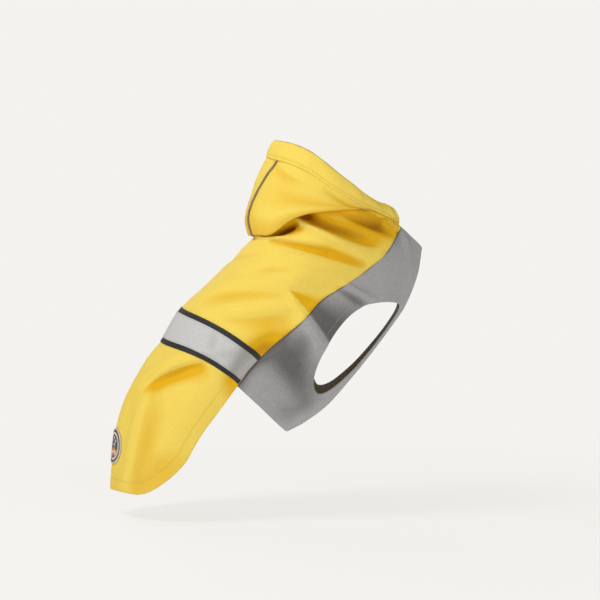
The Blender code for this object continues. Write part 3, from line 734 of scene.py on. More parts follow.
def cloth_ripple(row, angle, row_pitch):
    """Give the cloth its slight unevenness: a few crossed sines of unrelated lengths.

    They die away towards the middle of the underside, where the angles meet.
    """
    x = row * row_pitch
    y = signed_angle(angle) * DEGREE_PITCH
    kept = 1 - smooth_step(*RIPPLE_FADES, np.abs(signed_angle(angle)))
    broad = uneven_wave(x / 0.0131, 1.3, y / 0.019) * np.sin(y / 0.0157 + 0.8)
    cross = np.sin((x + 0.6 * y) / 0.0088 + 2.1) * np.sin((y - 0.4 * x) / 0.0113)
    fine = np.sin((0.7 * x - y) / 0.0049 + 0.4) * np.sin((x + 0.9 * y) / 0.0061)
    waves = zip(RIPPLE_HEIGHTS_MM, (broad, cross, fine))
    return sum(height * wave for height, wave in waves) * MM * kept


def seam_pucker(row, away, row_pitch):
    """Ruffle the cloth beside a seam: a sine along it that dies away across it."""
    x = row * row_pitch
    wave = uneven_wave(x / 0.0019, 2.2, x / 0.013) * (0.6 + 0.4 * np.sin(x / 0.021))
    return PUCKER_HEIGHT * wave * np.exp(-np.abs(away) / PUCKER_REACH)


def end_gathers(row, angle, gathers):
    """Draw up the neck's front ends: sines along the edge, cut by stitched grooves."""
    away = np.abs(signed_angle(angle))
    reach = smooth_step(*GATHER_ANGLES, away) * (1 - smooth_step(*gathers.fades, row))
    small = uneven_wave(away * 2.1 + 1.9 * row, 1.2, away * 0.47)
    large = np.sin(away * 1.17 + 0.8 * row)
    grooves = sum(bell(row - at, gathers.half_width) for at in gathers.rows)
    return reach * MM * ((0.7 * small + 0.4 * large) * (1 - 0.6 * grooves) - 0.9 * grooves)


def past_side_seam(ring, angle):
    """Return how far past the side seam a place lies, in metres; below 0 on the yellow."""
    return (np.abs(signed_angle(angle)) - seam_angle(ring)) * DEGREE_PITCH


def sewn_share(ring):
    """Return 1 where the yellow and the grey cloth are sewn together and 0 past it."""
    return 1 - smooth_step(BELLY_HEM - SEAM_END_FADE, BELLY_HEM + SEAM_END_FADE, ring)


def coat_relief(ring, angle):
    """Heights that the back panel and the under panel share."""
    past = past_side_seam(ring, angle)
    relief = fold_relief(COAT_FOLDS, ring, angle, RING_PITCH) + dart_relief(ring, angle)[0]
    relief = relief + cloth_ripple(ring, angle, RING_PITCH)
    relief = relief + end_gathers(ring, angle, COAT_GATHERS) * (past < 0)
    return relief + seam_pucker(ring, past, RING_PITCH) * sewn_share(ring)


def back_surface(ring, angle, height=0.0):
    """Place points on the yellow back, rolled down a little where it is sewn."""
    inward = -past_side_seam(ring, angle)
    sewn = sewn_share(ring)
    lap = SHELL_WALL * sewn * (1 - smooth_step(*SHELL_LAP_FADES, inward))
    roll = groove_depth(SIDE_SEAM_ROLL, inward) * sewn
    roll = roll + groove_depth(NECK_SEAM_ROLL, ring * RING_PITCH)
    relief = coat_relief(ring, angle) + lap - roll + height
    return raised(coat_form, ring, angle, relief)


def under_surface(ring, angle, height=0.0):
    """Place points on the grey cloth, which dips under the yellow edge at the side seams."""
    past = past_side_seam(ring, angle)
    dip = KNIT_LAP_DIP * (1 - smooth_step(*KNIT_LAP_FADES, past))
    return raised(coat_form, ring, angle, coat_relief(ring, angle) - dip + height)


def hood_surface(level, angle, height=0.0):
    """Place points on the hood, with its folds and the dips of its two long seams."""
    beside = (np.abs(signed_angle(angle)) - strip_angle(level)) * DEGREE_PITCH
    relief = fold_relief(HOOD_FOLDS, level, angle, LEVEL_PITCH)
    relief = relief - groove_depth(HOOD_SEAM_DIP, beside) + height
    relief = relief + cloth_ripple(level, angle, LEVEL_PITCH)
    relief = relief + seam_pucker(level, beside, LEVEL_PITCH)
    below_casing = np.maximum(level - CASING_SEAM, 0) * LEVEL_PITCH
    casing_wave = CASING_PUCKER_HEIGHT * uneven_wave(angle * 1.9, 1.4, angle * 0.31)
    relief = relief + casing_wave * np.exp(-below_casing / PUCKER_REACH)
    relief = relief + end_gathers(level - CASING_SEAM, angle, HOOD_GATHERS)
    return raised(hood_form, level, angle, relief)


# ---------------------------------------------------------------- cloth as meshes

Patch = namedtuple("Patch", "points map folds")
Hem = namedtuple("Hem", "line wall depth")


def length_along(points):
    """Measure a line of points: each point's distance from the start along the line."""
    run = np.linalg.norm(np.diff(points, axis=0), axis=1)
    return np.concatenate(([0], np.cumsum(run)))


def cloth_map(points):
    """Measure a grid of points: metres along its columns and metres across its rows."""
    down = np.linalg.norm(np.diff(points, axis=0), axis=-1)
    across = np.linalg.norm(np.diff(points, axis=1), axis=-1)
    along = np.pad(np.cumsum(down, axis=0), ((1, 0), (0, 0)))
    beside = np.pad(np.cumsum(across, axis=1), ((0, 0), (1, 0)))
    middle = points.shape[1] // 2
    return np.stack((along, beside - beside[:, middle : middle + 1]), axis=-1)


def patch(points, folds=0.0):
    """A grid of cloth with its own measure and the heights of its folds and painted shade."""
    return Patch(points, cloth_map(points), np.broadcast_to(folds, points.shape[:2]))


def weld_patches(patches):
    """Join grids of points into quads; points that fall together become one."""
    points = np.concatenate([item.points.reshape(-1, 3) for item in patches])
    maps = np.concatenate([item.map.reshape(-1, 2) for item in patches])
    folds = np.concatenate([item.folds.ravel() for item in patches])
    quads, start = [], 0
    for item in patches:
        rows, columns = item.points.shape[:2]
        index = start + np.arange(rows * columns).reshape(rows, columns)
        corners = (index[:-1, :-1], index[:-1, 1:], index[1:, 1:], index[1:, :-1])
        quads.append(np.stack(corners, axis=-1).reshape(-1, 4))
        start += rows * columns
    rounded = np.round(points / WELD).astype(np.int64)
    _, first, joined = np.unique(rounded, axis=0, return_index=True, return_inverse=True)
    return points[first], maps[first], folds[first], joined.reshape(-1)[np.concatenate(quads)]


def ring_quads(index):
    """Quads between neighbouring rings of point numbers; each ring is closed."""
    beside = np.roll(index, -1, axis=1)
    return np.stack((index[:-1], index[1:], beside[1:], beside[:-1]), axis=-1).reshape(-1, 4)


def fan_quads(ring):
    """Fill a ring of an even number of points with quads that meet at its first point."""
    second = np.arange(1, len(ring) - 2, 2)
    return ring[np.stack((0 * second, second, second + 1, second + 2), axis=-1)]


def tube_quads(index):
    """Quads of a tube of rings of point numbers, closed at both ends."""
    ends = fan_quads(index[0]), fan_quads(index[-1])[:, ::-1]
    return np.concatenate((ring_quads(index), *ends))


def full_turn(steps):
    """Angles round a circle, in so many even steps."""
    return np.arange(steps) * 2 * np.pi / steps


def circle_round(side, up, turn):
    """Offsets round a circle, from its side direction towards its up direction."""
    return side[..., None, :] * np.cos(turn)[:, None] + up[..., None, :] * np.sin(turn)[:, None]


def tube_map(along, turn):
    """Map a tube: metres along it, and the share of the turn round it."""
    return np.stack(np.broadcast_arrays(along[:, None], turn / (2 * np.pi)), axis=-1).reshape(-1, 2)


def point_normals(points, quads):
    """Average the quads' area vectors (cross product of the diagonals) at each point."""
    corner = points[quads]
    area = np.cross(corner[:, 2] - corner[:, 0], corner[:, 3] - corner[:, 1])
    total = np.zeros_like(points)
    for index in range(4):
        np.add.at(total, quads[:, index], area)
    return unit(total)


def cut_edges(quads):
    """Return the directed edges that belong to one quad only: the cloth's cut edges."""
    ends = np.stack((quads, np.roll(quads, -1, axis=1)), axis=-1).reshape(-1, 2)
    pairs = np.sort(ends, axis=1)
    _, where, uses = np.unique(pairs, axis=0, return_index=True, return_counts=True)
    return ends[where[uses == 1]]


def quad_mesh(name, points, quads, materials, slots=None, maps=None, **fields):
    """Put arrays into a mesh object: quads, one UV pair a point, and named numbers."""
    mesh = bpy.data.meshes.new(name)
    mesh.vertices.add(len(points))
    mesh.vertices.foreach_set("co", np.ascontiguousarray(points, dtype=np.float32).ravel())
    mesh.loops.add(quads.size)
    mesh.loops.foreach_set("vertex_index", quads.astype(np.int32).ravel())
    mesh.polygons.add(len(quads))
    mesh.polygons.foreach_set("loop_start", np.arange(len(quads), dtype=np.int32) * 4)
    if slots is not None:
        mesh.polygons.foreach_set("material_index", slots.astype(np.int32))
    mesh.polygons.foreach_set("use_smooth", np.full(len(quads), True))
    if maps is not None:
        layer = mesh.uv_layers.new(name="cloth")
        layer.uv.foreach_set("vector", maps[quads].astype(np.float32).ravel())
    for label, values in fields.items():
        field = mesh.attributes.new(label, "FLOAT", "POINT")
        field.data.foreach_set("value", values.astype(np.float32))
    mesh.update(calc_edges=True)
    mesh.validate()
    for material in materials:
        mesh.materials.append(material)
    made = bpy.data.objects.new(name, mesh)
    bpy.context.scene.collection.objects.link(made)
    return made


def distance_to(points, line):
    """Return each point's distance to the nearest of a line's points, some at a time."""
    parts = np.array_split(points, max(1, len(points) * len(line) // MOST_PAIRS))
    return np.concatenate(
        [np.linalg.norm(part[:, None] - line, axis=-1).min(axis=1) for part in parts]
    )


def cloth_shell(name, patches, wall, materials, hem=None):
    """Give grids of points a wall and rounded edges.

    The inner side is the outer side moved in along the normals by the wall.  Where the
    cloth is turned in, closer to the hem's line than its depth, it has the hem's wall.
    Each cut edge is closed by a half circle as wide as the wall there.  The materials are
    the outer and the inner side's.
    """
    points, maps, folds, quads = weld_patches(patches)
    normals = point_normals(points, quads)
    count = len(points)
    to_hem, walls = np.full(count, NO_HEM), np.full(count, wall)
    if hem is not None:
        to_hem = distance_to(points, hem.line)
        past_hem = smooth_step(hem.depth, hem.depth + HEM_FADE, to_hem)
        walls = hem.wall + (wall - hem.wall) * past_hem
    inside = points - normals * walls[:, None]
    edges = cut_edges(quads)
    ring = np.unique(edges)
    after, before, number = (np.zeros(count, dtype=int) for _ in range(3))
    after[edges[:, 0]], before[edges[:, 1]] = edges[:, 1], edges[:, 0]
    number[ring] = np.arange(len(ring))
    run = points[after[ring]] - points[before[ring]]
    out = unit(np.cross(run, normals[ring]))
    middle = (points[ring] + inside[ring]) / 2
    half = walls[ring, None] / 2
    turns = np.pi * np.arange(1, RIM_STEPS) / RIM_STEPS
    rims = [middle + half * (normals[ring] * np.cos(turn) + out * np.sin(turn)) for turn in turns]
    rim_index = 2 * count + np.arange(len(turns) * len(ring)).reshape(len(turns), len(ring))
    chain = np.concatenate((ring[None], rim_index, ring[None] + count))
    from_end, to_end = number[edges[:, 0]], number[edges[:, 1]]
    rim_quads = [
        np.stack((upper[to_end], upper[from_end], lower[from_end], lower[to_end]), axis=-1)
        for upper, lower in zip(chain[:-1], chain[1:])
    ]
    faces = np.concatenate([quads, quads[:, ::-1] + count] + rim_quads)
    slots = np.zeros(len(faces))
    slots[len(quads) : 2 * len(quads)] = 1
    source = np.concatenate([np.arange(count), np.arange(count)] + [ring] * len(turns))
    everything = np.concatenate([points, inside] + rims)
    # The fold field carries the heights of folds and of painted shade, which deepen the colour.
    fields = {"hem": to_hem[source], "fold": folds[source]}
    return quad_mesh(name, everything, faces, materials, slots, maps[source], **fields)


def shares_across(steps):
    """Shares from -1 to 1, close together at both ends."""
    edge = np.array(EDGE_SHARES)
    inner = np.linspace(edge[-1], 1, steps)[1:]
    half = 1 - np.concatenate((edge, inner))
    return np.concatenate((-half, half[::-1][1:]))


def rings_between(first, last, steps):
    """Evenly spaced rings, with more of them in the first and the last step."""
    share = np.linspace(0, 1, steps + 1)
    extra = np.array(END_STEP_SHARES) / steps
    return first + (last - first) * np.unique(np.concatenate((share, extra, 1 - extra)))


def inset(surface, ring, angle, depth):
    """Move a line over a surface sideways by a depth, to the right of its heading.

    The step in ring and angle is solved from the two tangents of the surface, so that it
    is as long as the depth and square to the line.
    """
    step = INSET_STEP
    by_ring = (surface(ring, angle) - surface(ring - step, angle)) / step
    by_angle = (surface(ring, angle + step) - surface(ring, angle - step)) / (2 * step)
    heading = by_ring * np.gradient(ring)[:, None] + by_angle * np.gradient(angle)[:, None]
    aside = unit(np.cross(heading, np.cross(by_angle, by_ring))) * depth
    ring_ring, ring_angle = dot(by_ring, by_ring), dot(by_ring, by_angle)
    angle_angle = dot(by_angle, by_angle)
    ring_aside, angle_aside = dot(by_ring, aside), dot(by_angle, aside)
    scale = ring_ring * angle_angle - ring_angle * ring_angle
    ring_step = (angle_angle * ring_aside - ring_angle * angle_aside) / scale
    angle_step = (ring_ring * angle_aside - ring_angle * ring_aside) / scale
    return ring + ring_step, angle + angle_step


# ---------------------------------------------------------------- stitches


def stitch_row(points, normals):
    """Lay stitches along a line on the cloth, and return their points and number.

    Every stitch is a short straight tube.  Across it the section is a hexagon whose radius
    falls to a third at both ends; along it the tube arches up in the middle, by
    1 - share squared, and dives into the cloth at both ends.
    """
    length = length_along(points)
    number = int(length[-1] / STITCH_PITCH)
    middle = (np.arange(number) + 0.5) * length[-1] / number
    share = np.linspace(-1, 1, STITCH_STATIONS)
    at = middle[:, None] + share * STITCH_LENGTH / 2

    def read(values):
        return np.stack([np.interp(at, length, values[:, axis]) for axis in range(3)], axis=-1)

    centre, up = read(points), unit(read(normals))
    ahead = unit(centre[:, -1:] - centre[:, :1])
    side = unit(np.cross(ahead, up))
    arch = THREAD_RADIUS * (1.1 * (1 - share**2) - 0.45)
    radius = THREAD_RADIUS * (1 - 0.66 * share**4)
    spread = circle_round(side, up, full_turn(STITCH_SIDES))
    tube = (centre + up * arch[:, None])[:, :, None] + spread * radius[:, None, None]
    return tube.reshape(-1, 3), number


def stitches(name, lines, material):
    """Join rows of stitches into one piece; a line is its points and the normals there."""
    tubes, numbers = zip(*(stitch_row(points, normals) for points, normals in lines))
    index = np.arange(STITCH_STATIONS * STITCH_SIDES).reshape(STITCH_STATIONS, STITCH_SIDES)
    starts = np.arange(sum(numbers))[:, None, None] * index.size
    quads = (tube_quads(index)[None] + starts).reshape(-1, 4)
    return quad_mesh(name, np.concatenate(tubes), quads, (material,))


def row_on(surface, form, row, angle):
    """A line of stitches on a surface: its points and the normals there."""
    return surface(row, angle), outward(form, row, angle)


# ---------------------------------------------------------------- node groups


def new_group(name, inputs, outputs):
    """Start a shader node group; returns it with its input and output sockets."""
    group = bpy.data.node_groups.new(name, "ShaderNodeTree")
    for label, kind, value in inputs:
        socket = group.interface.new_socket(label, in_out="INPUT", socket_type=kind)
        if value is not None:
            socket.default_value = value
    for label, kind in outputs:
        group.interface.new_socket(label, in_out="OUTPUT", socket_type=kind)
    entry = group.nodes.new("NodeGroupInput")
    leave = group.nodes.new("NodeGroupOutput")
    return group, entry.outputs, leave.inputs


def place(tree, kind, inputs, **settings):
    """Add a node, set its properties, and set or link its inputs."""
    made = tree.nodes.new(kind)
    for name, value in settings.items():
        setattr(made, name, value)
    for key, value in inputs.items():
        feed(tree, made.inputs[key], value)
    return made


def feed(tree, socket, value):
    """Link a socket, or set its value."""
    if isinstance(value, bpy.types.NodeSocket):
        tree.links.new(value, socket)
    else:
        socket.default_value = value


def work_out(operation, tree, *values):
    """Chain one math operation over its values and return the result's socket."""
    result = values[0]
    if len(values) == 1:
        return place(tree, "ShaderNodeMath", {0: result}, operation=operation).outputs[0]
    for value in values[1:]:
        made = place(tree, "ShaderNodeMath", {0: result, 1: value}, operation=operation)
        result = made.outputs[0]
    return result


add = partial(work_out, "ADD")
subtract = partial(work_out, "SUBTRACT")
multiply = partial(work_out, "MULTIPLY")
divide = partial(work_out, "DIVIDE")
ping_pong = partial(work_out, "PINGPONG")
sine = partial(work_out, "SINE")
absolute = partial(work_out, "ABSOLUTE")
exponential = partial(work_out, "EXPONENT")
root = partial(work_out, "SQRT")


def map_range(tree, value, low, high, to_low=0.0, to_high=1.0, kind="SMOOTHSTEP"):
    """Carry a value from one range to another, held at both ends."""
    names = ("Value", "From Min", "From Max", "To Min", "To Max")
    inputs = dict(zip(names, (value, low, high, to_low, to_high)))
    return place(tree, "ShaderNodeMapRange", inputs, interpolation_type=kind).outputs["Result"]


def noise(tree, where, scale, detail=3.0, rough=0.5):
    """A noise value, 0 to 1, at so many features a metre."""
    inputs = {"Vector": where, "Scale": scale, "Detail": detail, "Roughness": rough}
    return place(tree, "ShaderNodeTexNoise", inputs).outputs[0]


def split(tree, vector):
    """Return the sockets of a vector's three parts."""
    return place(tree, "ShaderNodeSeparateXYZ", {0: vector}).outputs


def arches(tree, turns, rate=np.pi):
    """A row of arches: |sin(rate * turns)|, one arch a turn at the usual rate."""
    return absolute(tree, sine(tree, multiply(tree, turns, rate)))


def distance_from(tree, first, second):
    """The length of a flat vector: the root of the sum of its parts' squares."""
    squares = [multiply(tree, part, part) for part in (first, second)]
    return root(tree, add(tree, *squares))


def mix_colours(tree, factor, first, second, **settings):
    """Go from one colour to another by a factor; sockets 6 and 7 are the Mix node's colours."""
    inputs = {"Factor": factor, 6: first, 7: second}
    return place(tree, "ShaderNodeMix", inputs, data_type="RGBA", **settings).outputs[2]


def weave_group():
    """Plain weave: each thread is an arch |sin| across and a lower arch along, and the
    sign of sin x * sin y says whether the warp or the weft is on top."""
    inputs = (("Map", "NodeSocketVector", None), ("Pitch", "NodeSocketFloat", 0.0006))
    outputs = (("Height", "NodeSocketFloat"), ("Warp", "NodeSocketFloat"))
    group, given, result = new_group("plain_weave", inputs, outputs)
    waves = []
    for part in split(group, given["Map"])[:2]:
        turns = divide(group, part, given["Pitch"])
        waves.append(sine(group, multiply(group, turns, np.pi)))
    warp = map_range(group, multiply(group, *waves), -0.15, 0.15)
    across = [absolute(group, wave) for wave in waves]
    along = [add(group, multiply(group, arch, 0.4), 0.6) for arch in across]
    over = multiply(group, across[1], along[0])
    under = multiply(group, across[0], along[1])
    mixed = place(group, "ShaderNodeMix", {"Factor": warp, 2: under, 3: over}, data_type="FLOAT")
    feed(group, result["Height"], mixed.outputs[0])
    feed(group, result["Warp"], warp)
    return group


def knit_group():
    """Jersey knit: in each wale two strands lean together, |sin| across the strand and a
    sine along it that is shifted by the distance from the wale's middle."""
    inputs = (("Map", "NodeSocketVector", None), ("Pitch", "NodeSocketFloat", 0.0009))
    group, given, result = new_group("jersey_knit", inputs, (("Height", "NodeSocketFloat"),))
    parts = split(group, given["Map"])
    course, wale = (divide(group, part, given["Pitch"]) for part in parts[:2])
    strand = arches(group, wale, 2 * np.pi)
    from_middle = ping_pong(group, wale, 0.5)
    slant = add(group, course, multiply(group, from_middle, 1.6))
    loop = add(group, multiply(group, arches(group, slant), 0.5), 0.5)
    feed(group, result["Height"], multiply(group, strand, loop))
    return group


def handled_group():
    """Signs of use: broad cloudy shade and speckle, and a crinkle from two sizes of noise."""
    inputs = (
        ("Where", "NodeSocketVector", None),
        ("Clouds", "NodeSocketFloat", 0.05),
        ("Speck", "NodeSocketFloat", 0.1),
    )
    outputs = (("Shade", "NodeSocketFloat"), ("Crinkle", "NodeSocketFloat"))
    group, given, result = new_group("handled_cloth", inputs, outputs)
    clouds = noise(group, given["Where"], 22.0, 4.0, 0.6)
    speck = noise(group, given["Where"], 520.0, 2.0, 0.6)
    swings = [
        multiply(group, subtract(group, value, 0.5), given[amount])
        for value, amount in ((clouds, "Clouds"), (speck, "Speck"))
    ]
    feed(group, result["Shade"], add(group, *swings, 1.0))
    soft = noise(group, given["Where"], 120.0, 3.0, 0.55)
    fine = noise(group, given["Where"], 420.0, 2.0, 0.5)
    feed(group, result["Crinkle"], add(group, soft, multiply(group, fine, 0.35)))
    return group


def hem_group():
    """A turned hem: a bell-shaped groove along its stitch line, and the turned layer's
    edge showing as a faint step just past it."""
    inputs = (("Distance", "NodeSocketFloat", 1.0), ("Row", "NodeSocketFloat", 0.012))
    outputs = (("Height", "NodeSocketFloat"), ("Groove", "NodeSocketFloat"))
    group, given, result = new_group("stitched_hem", inputs, outputs)
    off = subtract(group, given["Distance"], given["Row"])
    across = divide(group, off, HEM_GROOVE_HALF_WIDTH)
    groove = exponential(group, multiply(group, across, multiply(group, across, -1.0)))
    step = map_range(group, off, *HEM_STEP_SPAN, HEM_STEP_HEIGHT, 0.0)
    feed(group, result["Height"], subtract(group, step, groove))
    feed(group, result["Groove"], groove)
    return group


# ---------------------------------------------------------------- materials

# Each cloth's deeper colours are painted shade: they stand in for the shade in its folds and
# troughs and under the hood's rim.
YELLOW = light_of(231, 202, 88)
YELLOW_SHADED = light_of(218, 166, 0)
YELLOW_DARKEST_SHADE = light_of(132, 66, 0)
YELLOW_INSIDE = light_of(214, 180, 62)
YELLOW_INSIDE_SHADED = light_of(196, 150, 30)
GREY = light_of(163, 162, 163)
GREY_SHADED = light_of(91, 88, 87)
GREY_DARKEST_SHADE = light_of(84, 80, 79)
GREY_INSIDE = light_of(128, 125, 124)
GREY_INSIDE_SHADED = light_of(104, 101, 100)
BLACK = light_of(22, 22, 23)
SILVER = light_of(186, 186, 184)
SILVER_SHADED = light_of(150, 147, 142)
CHARCOAL = light_of(70, 68, 72)
CREAM = light_of(226, 214, 192)
ORANGE = light_of(208, 120, 62)
RIM_GREY = light_of(214, 206, 198)
PIPING_BROWN = light_of(134, 116, 84)
THREAD_YELLOW = light_of(222, 188, 60)
THREAD_GREY = light_of(170, 169, 170)
THREAD_BLACK = light_of(38, 38, 40)
FLOOR_SEEN = light_of(246, 245, 242)
FLOOR_UNSEEN = light_of(190, 186, 178)

# A cloth's finish: its roughness, the pitch of its threads in metres, how high its threads
# and its crinkle stand in millimetres, and how strong its clouds, its speckle and the shade
# between its threads are.
Finish = namedtuple("Finish", "roughness pitch grain_mm crinkle_mm clouds speck thread_shade")
SHELL_OUTSIDE = Finish(0.52, 0.55 * MM, 0.035, 0.10, 0.085, 0.20, 0.05)
SHELL_INSIDE = Finish(0.80, 0.55 * MM, 0.045, 0.12, 0.05, 0.12, 0.10)
KNIT_OUTSIDE = Finish(0.84, 0.95 * MM, 0.08, 0.10, 0.09, 0.50, 0.14)
KNIT_INSIDE = Finish(0.90, 0.95 * MM, 0.10, 0.10, 0.08, 0.24, 0.18)
RIBBON = Finish(0.62, 0.70 * MM, 0.09, 0.04, 0.06, 0.12, 0.25)
TAPE = Finish(0.62, 0.40 * MM, 0.015, 0.05, 0.05, 0.35, 0.04)

# How painted shade deepens a cloth's colour in its folds, a row for each of its deeper,
# shaded colours: at what depth it is all there, where it starts, and how much of it there
# is at most.
DEEPEST = (-11, -5.2, 0.95)
CLOTH_DEPTHS = ((-4.4, -0.3, 0.94), DEEPEST)
SHELL_DEPTHS = ((-3.3, -0.35, 0.94), DEEPEST)

# A cloth's material: its colours, from open to the deep ones of painted shade, its finish,
# its grain, how far from the edge its hem's stitches run, how its painted shade deepens,
# and other constants of its shader.
Cloth = namedtuple(
    "Cloth",
    "name colours finish grain stitched_at depths_mm constants",
    defaults=(None, CLOTH_DEPTHS, {}),
)
YELLOWS = (YELLOW, YELLOW_SHADED, YELLOW_DARKEST_SHADE)
YELLOWS_INSIDE = (YELLOW_INSIDE, YELLOW_INSIDE_SHADED)
GREYS = (GREY, GREY_SHADED, GREY_DARKEST_SHADE)
GREYS_INSIDE = (GREY_INSIDE, GREY_INSIDE_SHADED)
DULL = {"Specular IOR Level": 0.12}
KNIT_FUZZ = {"Sheen Weight": 0.2}
TAPE_FUZZ = {"Sheen Weight": 0.1}
SHELL_ROW = HEM_DEPTH - STITCH_INSET
KNIT_ROW = HOLE_HEM_DEPTH - STITCH_INSET
CLOTHS = (
    Cloth("yellow_shell_outside", YELLOWS, SHELL_OUTSIDE, "weave", SHELL_ROW, SHELL_DEPTHS, DULL),
    Cloth("yellow_shell_inside", YELLOWS_INSIDE, SHELL_INSIDE, "weave", HEM_DEPTH),
    Cloth("hood_shell_outside", YELLOWS, SHELL_OUTSIDE, "weave", None, SHELL_DEPTHS, DULL),
    Cloth("hood_shell_inside", YELLOWS_INSIDE, SHELL_INSIDE, "weave"),
    Cloth("grey_knit_outside", GREYS, KNIT_OUTSIDE, "knit", KNIT_ROW, constants=KNIT_FUZZ),
    Cloth("grey_knit_inside", GREYS_INSIDE, KNIT_INSIDE, "knit", HOLE_HEM_DEPTH),
    Cloth("black_ribbon", (BLACK, BLACK), RIBBON, "weave"),
    Cloth("silver_tape_film", (SILVER, SILVER_SHADED), TAPE, "weave", constants=TAPE_FUZZ),
)


def start_material(name, roughness, **constants):
    """A material with a Principled shader, its constant values on the shader's sockets."""
    material = bpy.data.materials.new(name)
    material.use_nodes = True
    tree = material.node_tree
    shader = tree.nodes["Principled BSDF"]
    shader.inputs["Roughness"].default_value = roughness
    for label, value in constants.items():
        shader.inputs[label].default_value = value
    return material, tree, shader


def tint(tree, colour, shades):
    """Multiply a colour by grey shades."""
    factor = multiply(tree, *shades) if len(shades) > 1 else shades[0]
    grey = place(tree, "ShaderNodeCombineColor", {0: factor, 1: factor, 2: factor}).outputs[0]
    return mix_colours(tree, 1.0, colour, grey, blend_type="MULTIPLY")


def raise_grain(tree, shader, height, distance, strength=1.0):
    """Turn a height into the bump that the shader's light falls on."""
    inputs = {"Height": height, "Distance": distance, "Strength": strength}
    bump = place(tree, "ShaderNodeBump", inputs)
    feed(tree, shader.inputs["Normal"], bump.outputs[0])


def cloth_uv(tree):
    """Return the cloth's own measure, in metres, as a vector."""
    return place(tree, "ShaderNodeUVMap", {}, uv_map="cloth").outputs[0]


def object_point(tree):
    """Return the place on the coat, in metres, as a vector."""
    return place(tree, "ShaderNodeTexCoord", {}).outputs["Object"]


def use_group(tree, group, **inputs):
    """Add a node group, set or link its inputs by name, and return its outputs."""
    return place(tree, "ShaderNodeGroup", inputs, node_tree=group).outputs


def read_field(tree, name):
    """Return a number that the mesh carries at each point."""
    return place(tree, "ShaderNodeAttribute", {}, attribute_name=name).outputs["Fac"]


def cloth_material(cloth, groups):
    """A woven or knitted cloth: grain bump, crinkle, cloudy shade and its stitched hem.

    Its colours are that of its open surface and deeper ones down in its troughs: painted
    shade, which follows the mesh's fold field.
    """
    finish = cloth.finish
    material, tree, shader = start_material(cloth.name, finish.roughness, **cloth.constants)
    used = use_group(
        tree, groups["handled"], Where=object_point(tree), Clouds=finish.clouds, Speck=finish.speck
    )
    fibre = use_group(tree, groups[cloth.grain], Map=cloth_uv(tree), Pitch=finish.pitch)
    heights = [
        multiply(tree, fibre["Height"], finish.grain_mm),
        multiply(tree, used["Crinkle"], finish.crinkle_mm),
    ]
    between_threads = 1 - finish.thread_shade
    shades = [used["Shade"], map_range(tree, fibre["Height"], 0.0, 1.0, between_threads, 1.0)]
    if cloth.stitched_at is not None:
        to_hem = read_field(tree, "hem")
        hem = use_group(tree, groups["hem"], Distance=to_hem, Row=cloth.stitched_at)
        heights.append(multiply(tree, hem["Height"], HEM_BUMP))
        # Painted shade: the hem's groove is darkened a little.
        shades.append(map_range(tree, hem["Groove"], 0.0, 1.0, 1.0, HEM_GROOVE_SHADE))
    raise_grain(tree, shader, add(tree, *heights), MM)
    # Painted shade: the colour deepens where the fold field lies below 0.
    fold = read_field(tree, "fold")
    colour = cloth.colours[0]
    for deeper, (all_there, starts, most) in zip(cloth.colours[1:], cloth.depths_mm):
        depth = map_range(tree, fold, all_there * MM, starts * MM, most, 0.0, "LINEAR")
        colour = mix_colours(tree, depth, colour, deeper)
    feed(tree, shader.inputs["Base Color"], tint(tree, colour, shades))
    smoothest, roughest = finish.roughness - 0.05, finish.roughness + 0.06
    rough = map_range(tree, used["Crinkle"], 0.3, 1.0, smoothest, roughest)
    feed(tree, shader.inputs["Roughness"], rough)
    return material


def thread_material(name, colour):
    """Sewing thread: a plain colour with a fine twist across each stitch."""
    material, tree, shader = start_material(name, 0.55, **{"Sheen Weight": 0.1})
    twist = noise(tree, object_point(tree), 2500.0, 1.0, 0.5)
    raise_grain(tree, shader, twist, 0.05 * MM, 0.8)
    shade = map_range(tree, twist, 0.2, 0.8, 0.85, 1.0)
    feed(tree, shader.inputs["Base Color"], tint(tree, colour, [shade]))
    return material


def wound_material(name, roughness, fuzz, colour, pitch, height, shade_range):
    """Wound thread or braid: slanting strands round a tube, lit and shaded in turn.

    A strand is an arch over the sum of the length along the tube, in pitches, and the
    share of the turn round it.
    """
    material, tree, shader = start_material(name, roughness, **{"Sheen Weight": fuzz})
    parts = split(tree, cloth_uv(tree))
    strand = arches(tree, add(tree, divide(tree, parts[0], pitch), parts[1]))
    raise_grain(tree, shader, strand, height)
    shade = map_range(tree, strand, 0.0, 1.0, *shade_range)
    feed(tree, shader.inputs["Base Color"], tint(tree, colour, [shade]))
    return material


# The badge's marks, in shares of its half height and half width: where the waves and the
# raindrops are, how far the middle of each is down and aside.
BADGE_WAVES = ((0.16, ORANGE), (0.33, CREAM), (0.50, ORANGE))
BADGE_DROPS = ((-0.50, 0.0), (-0.34, -0.30), (-0.32, 0.30), (-0.12, -0.16), (-0.10, 0.20))


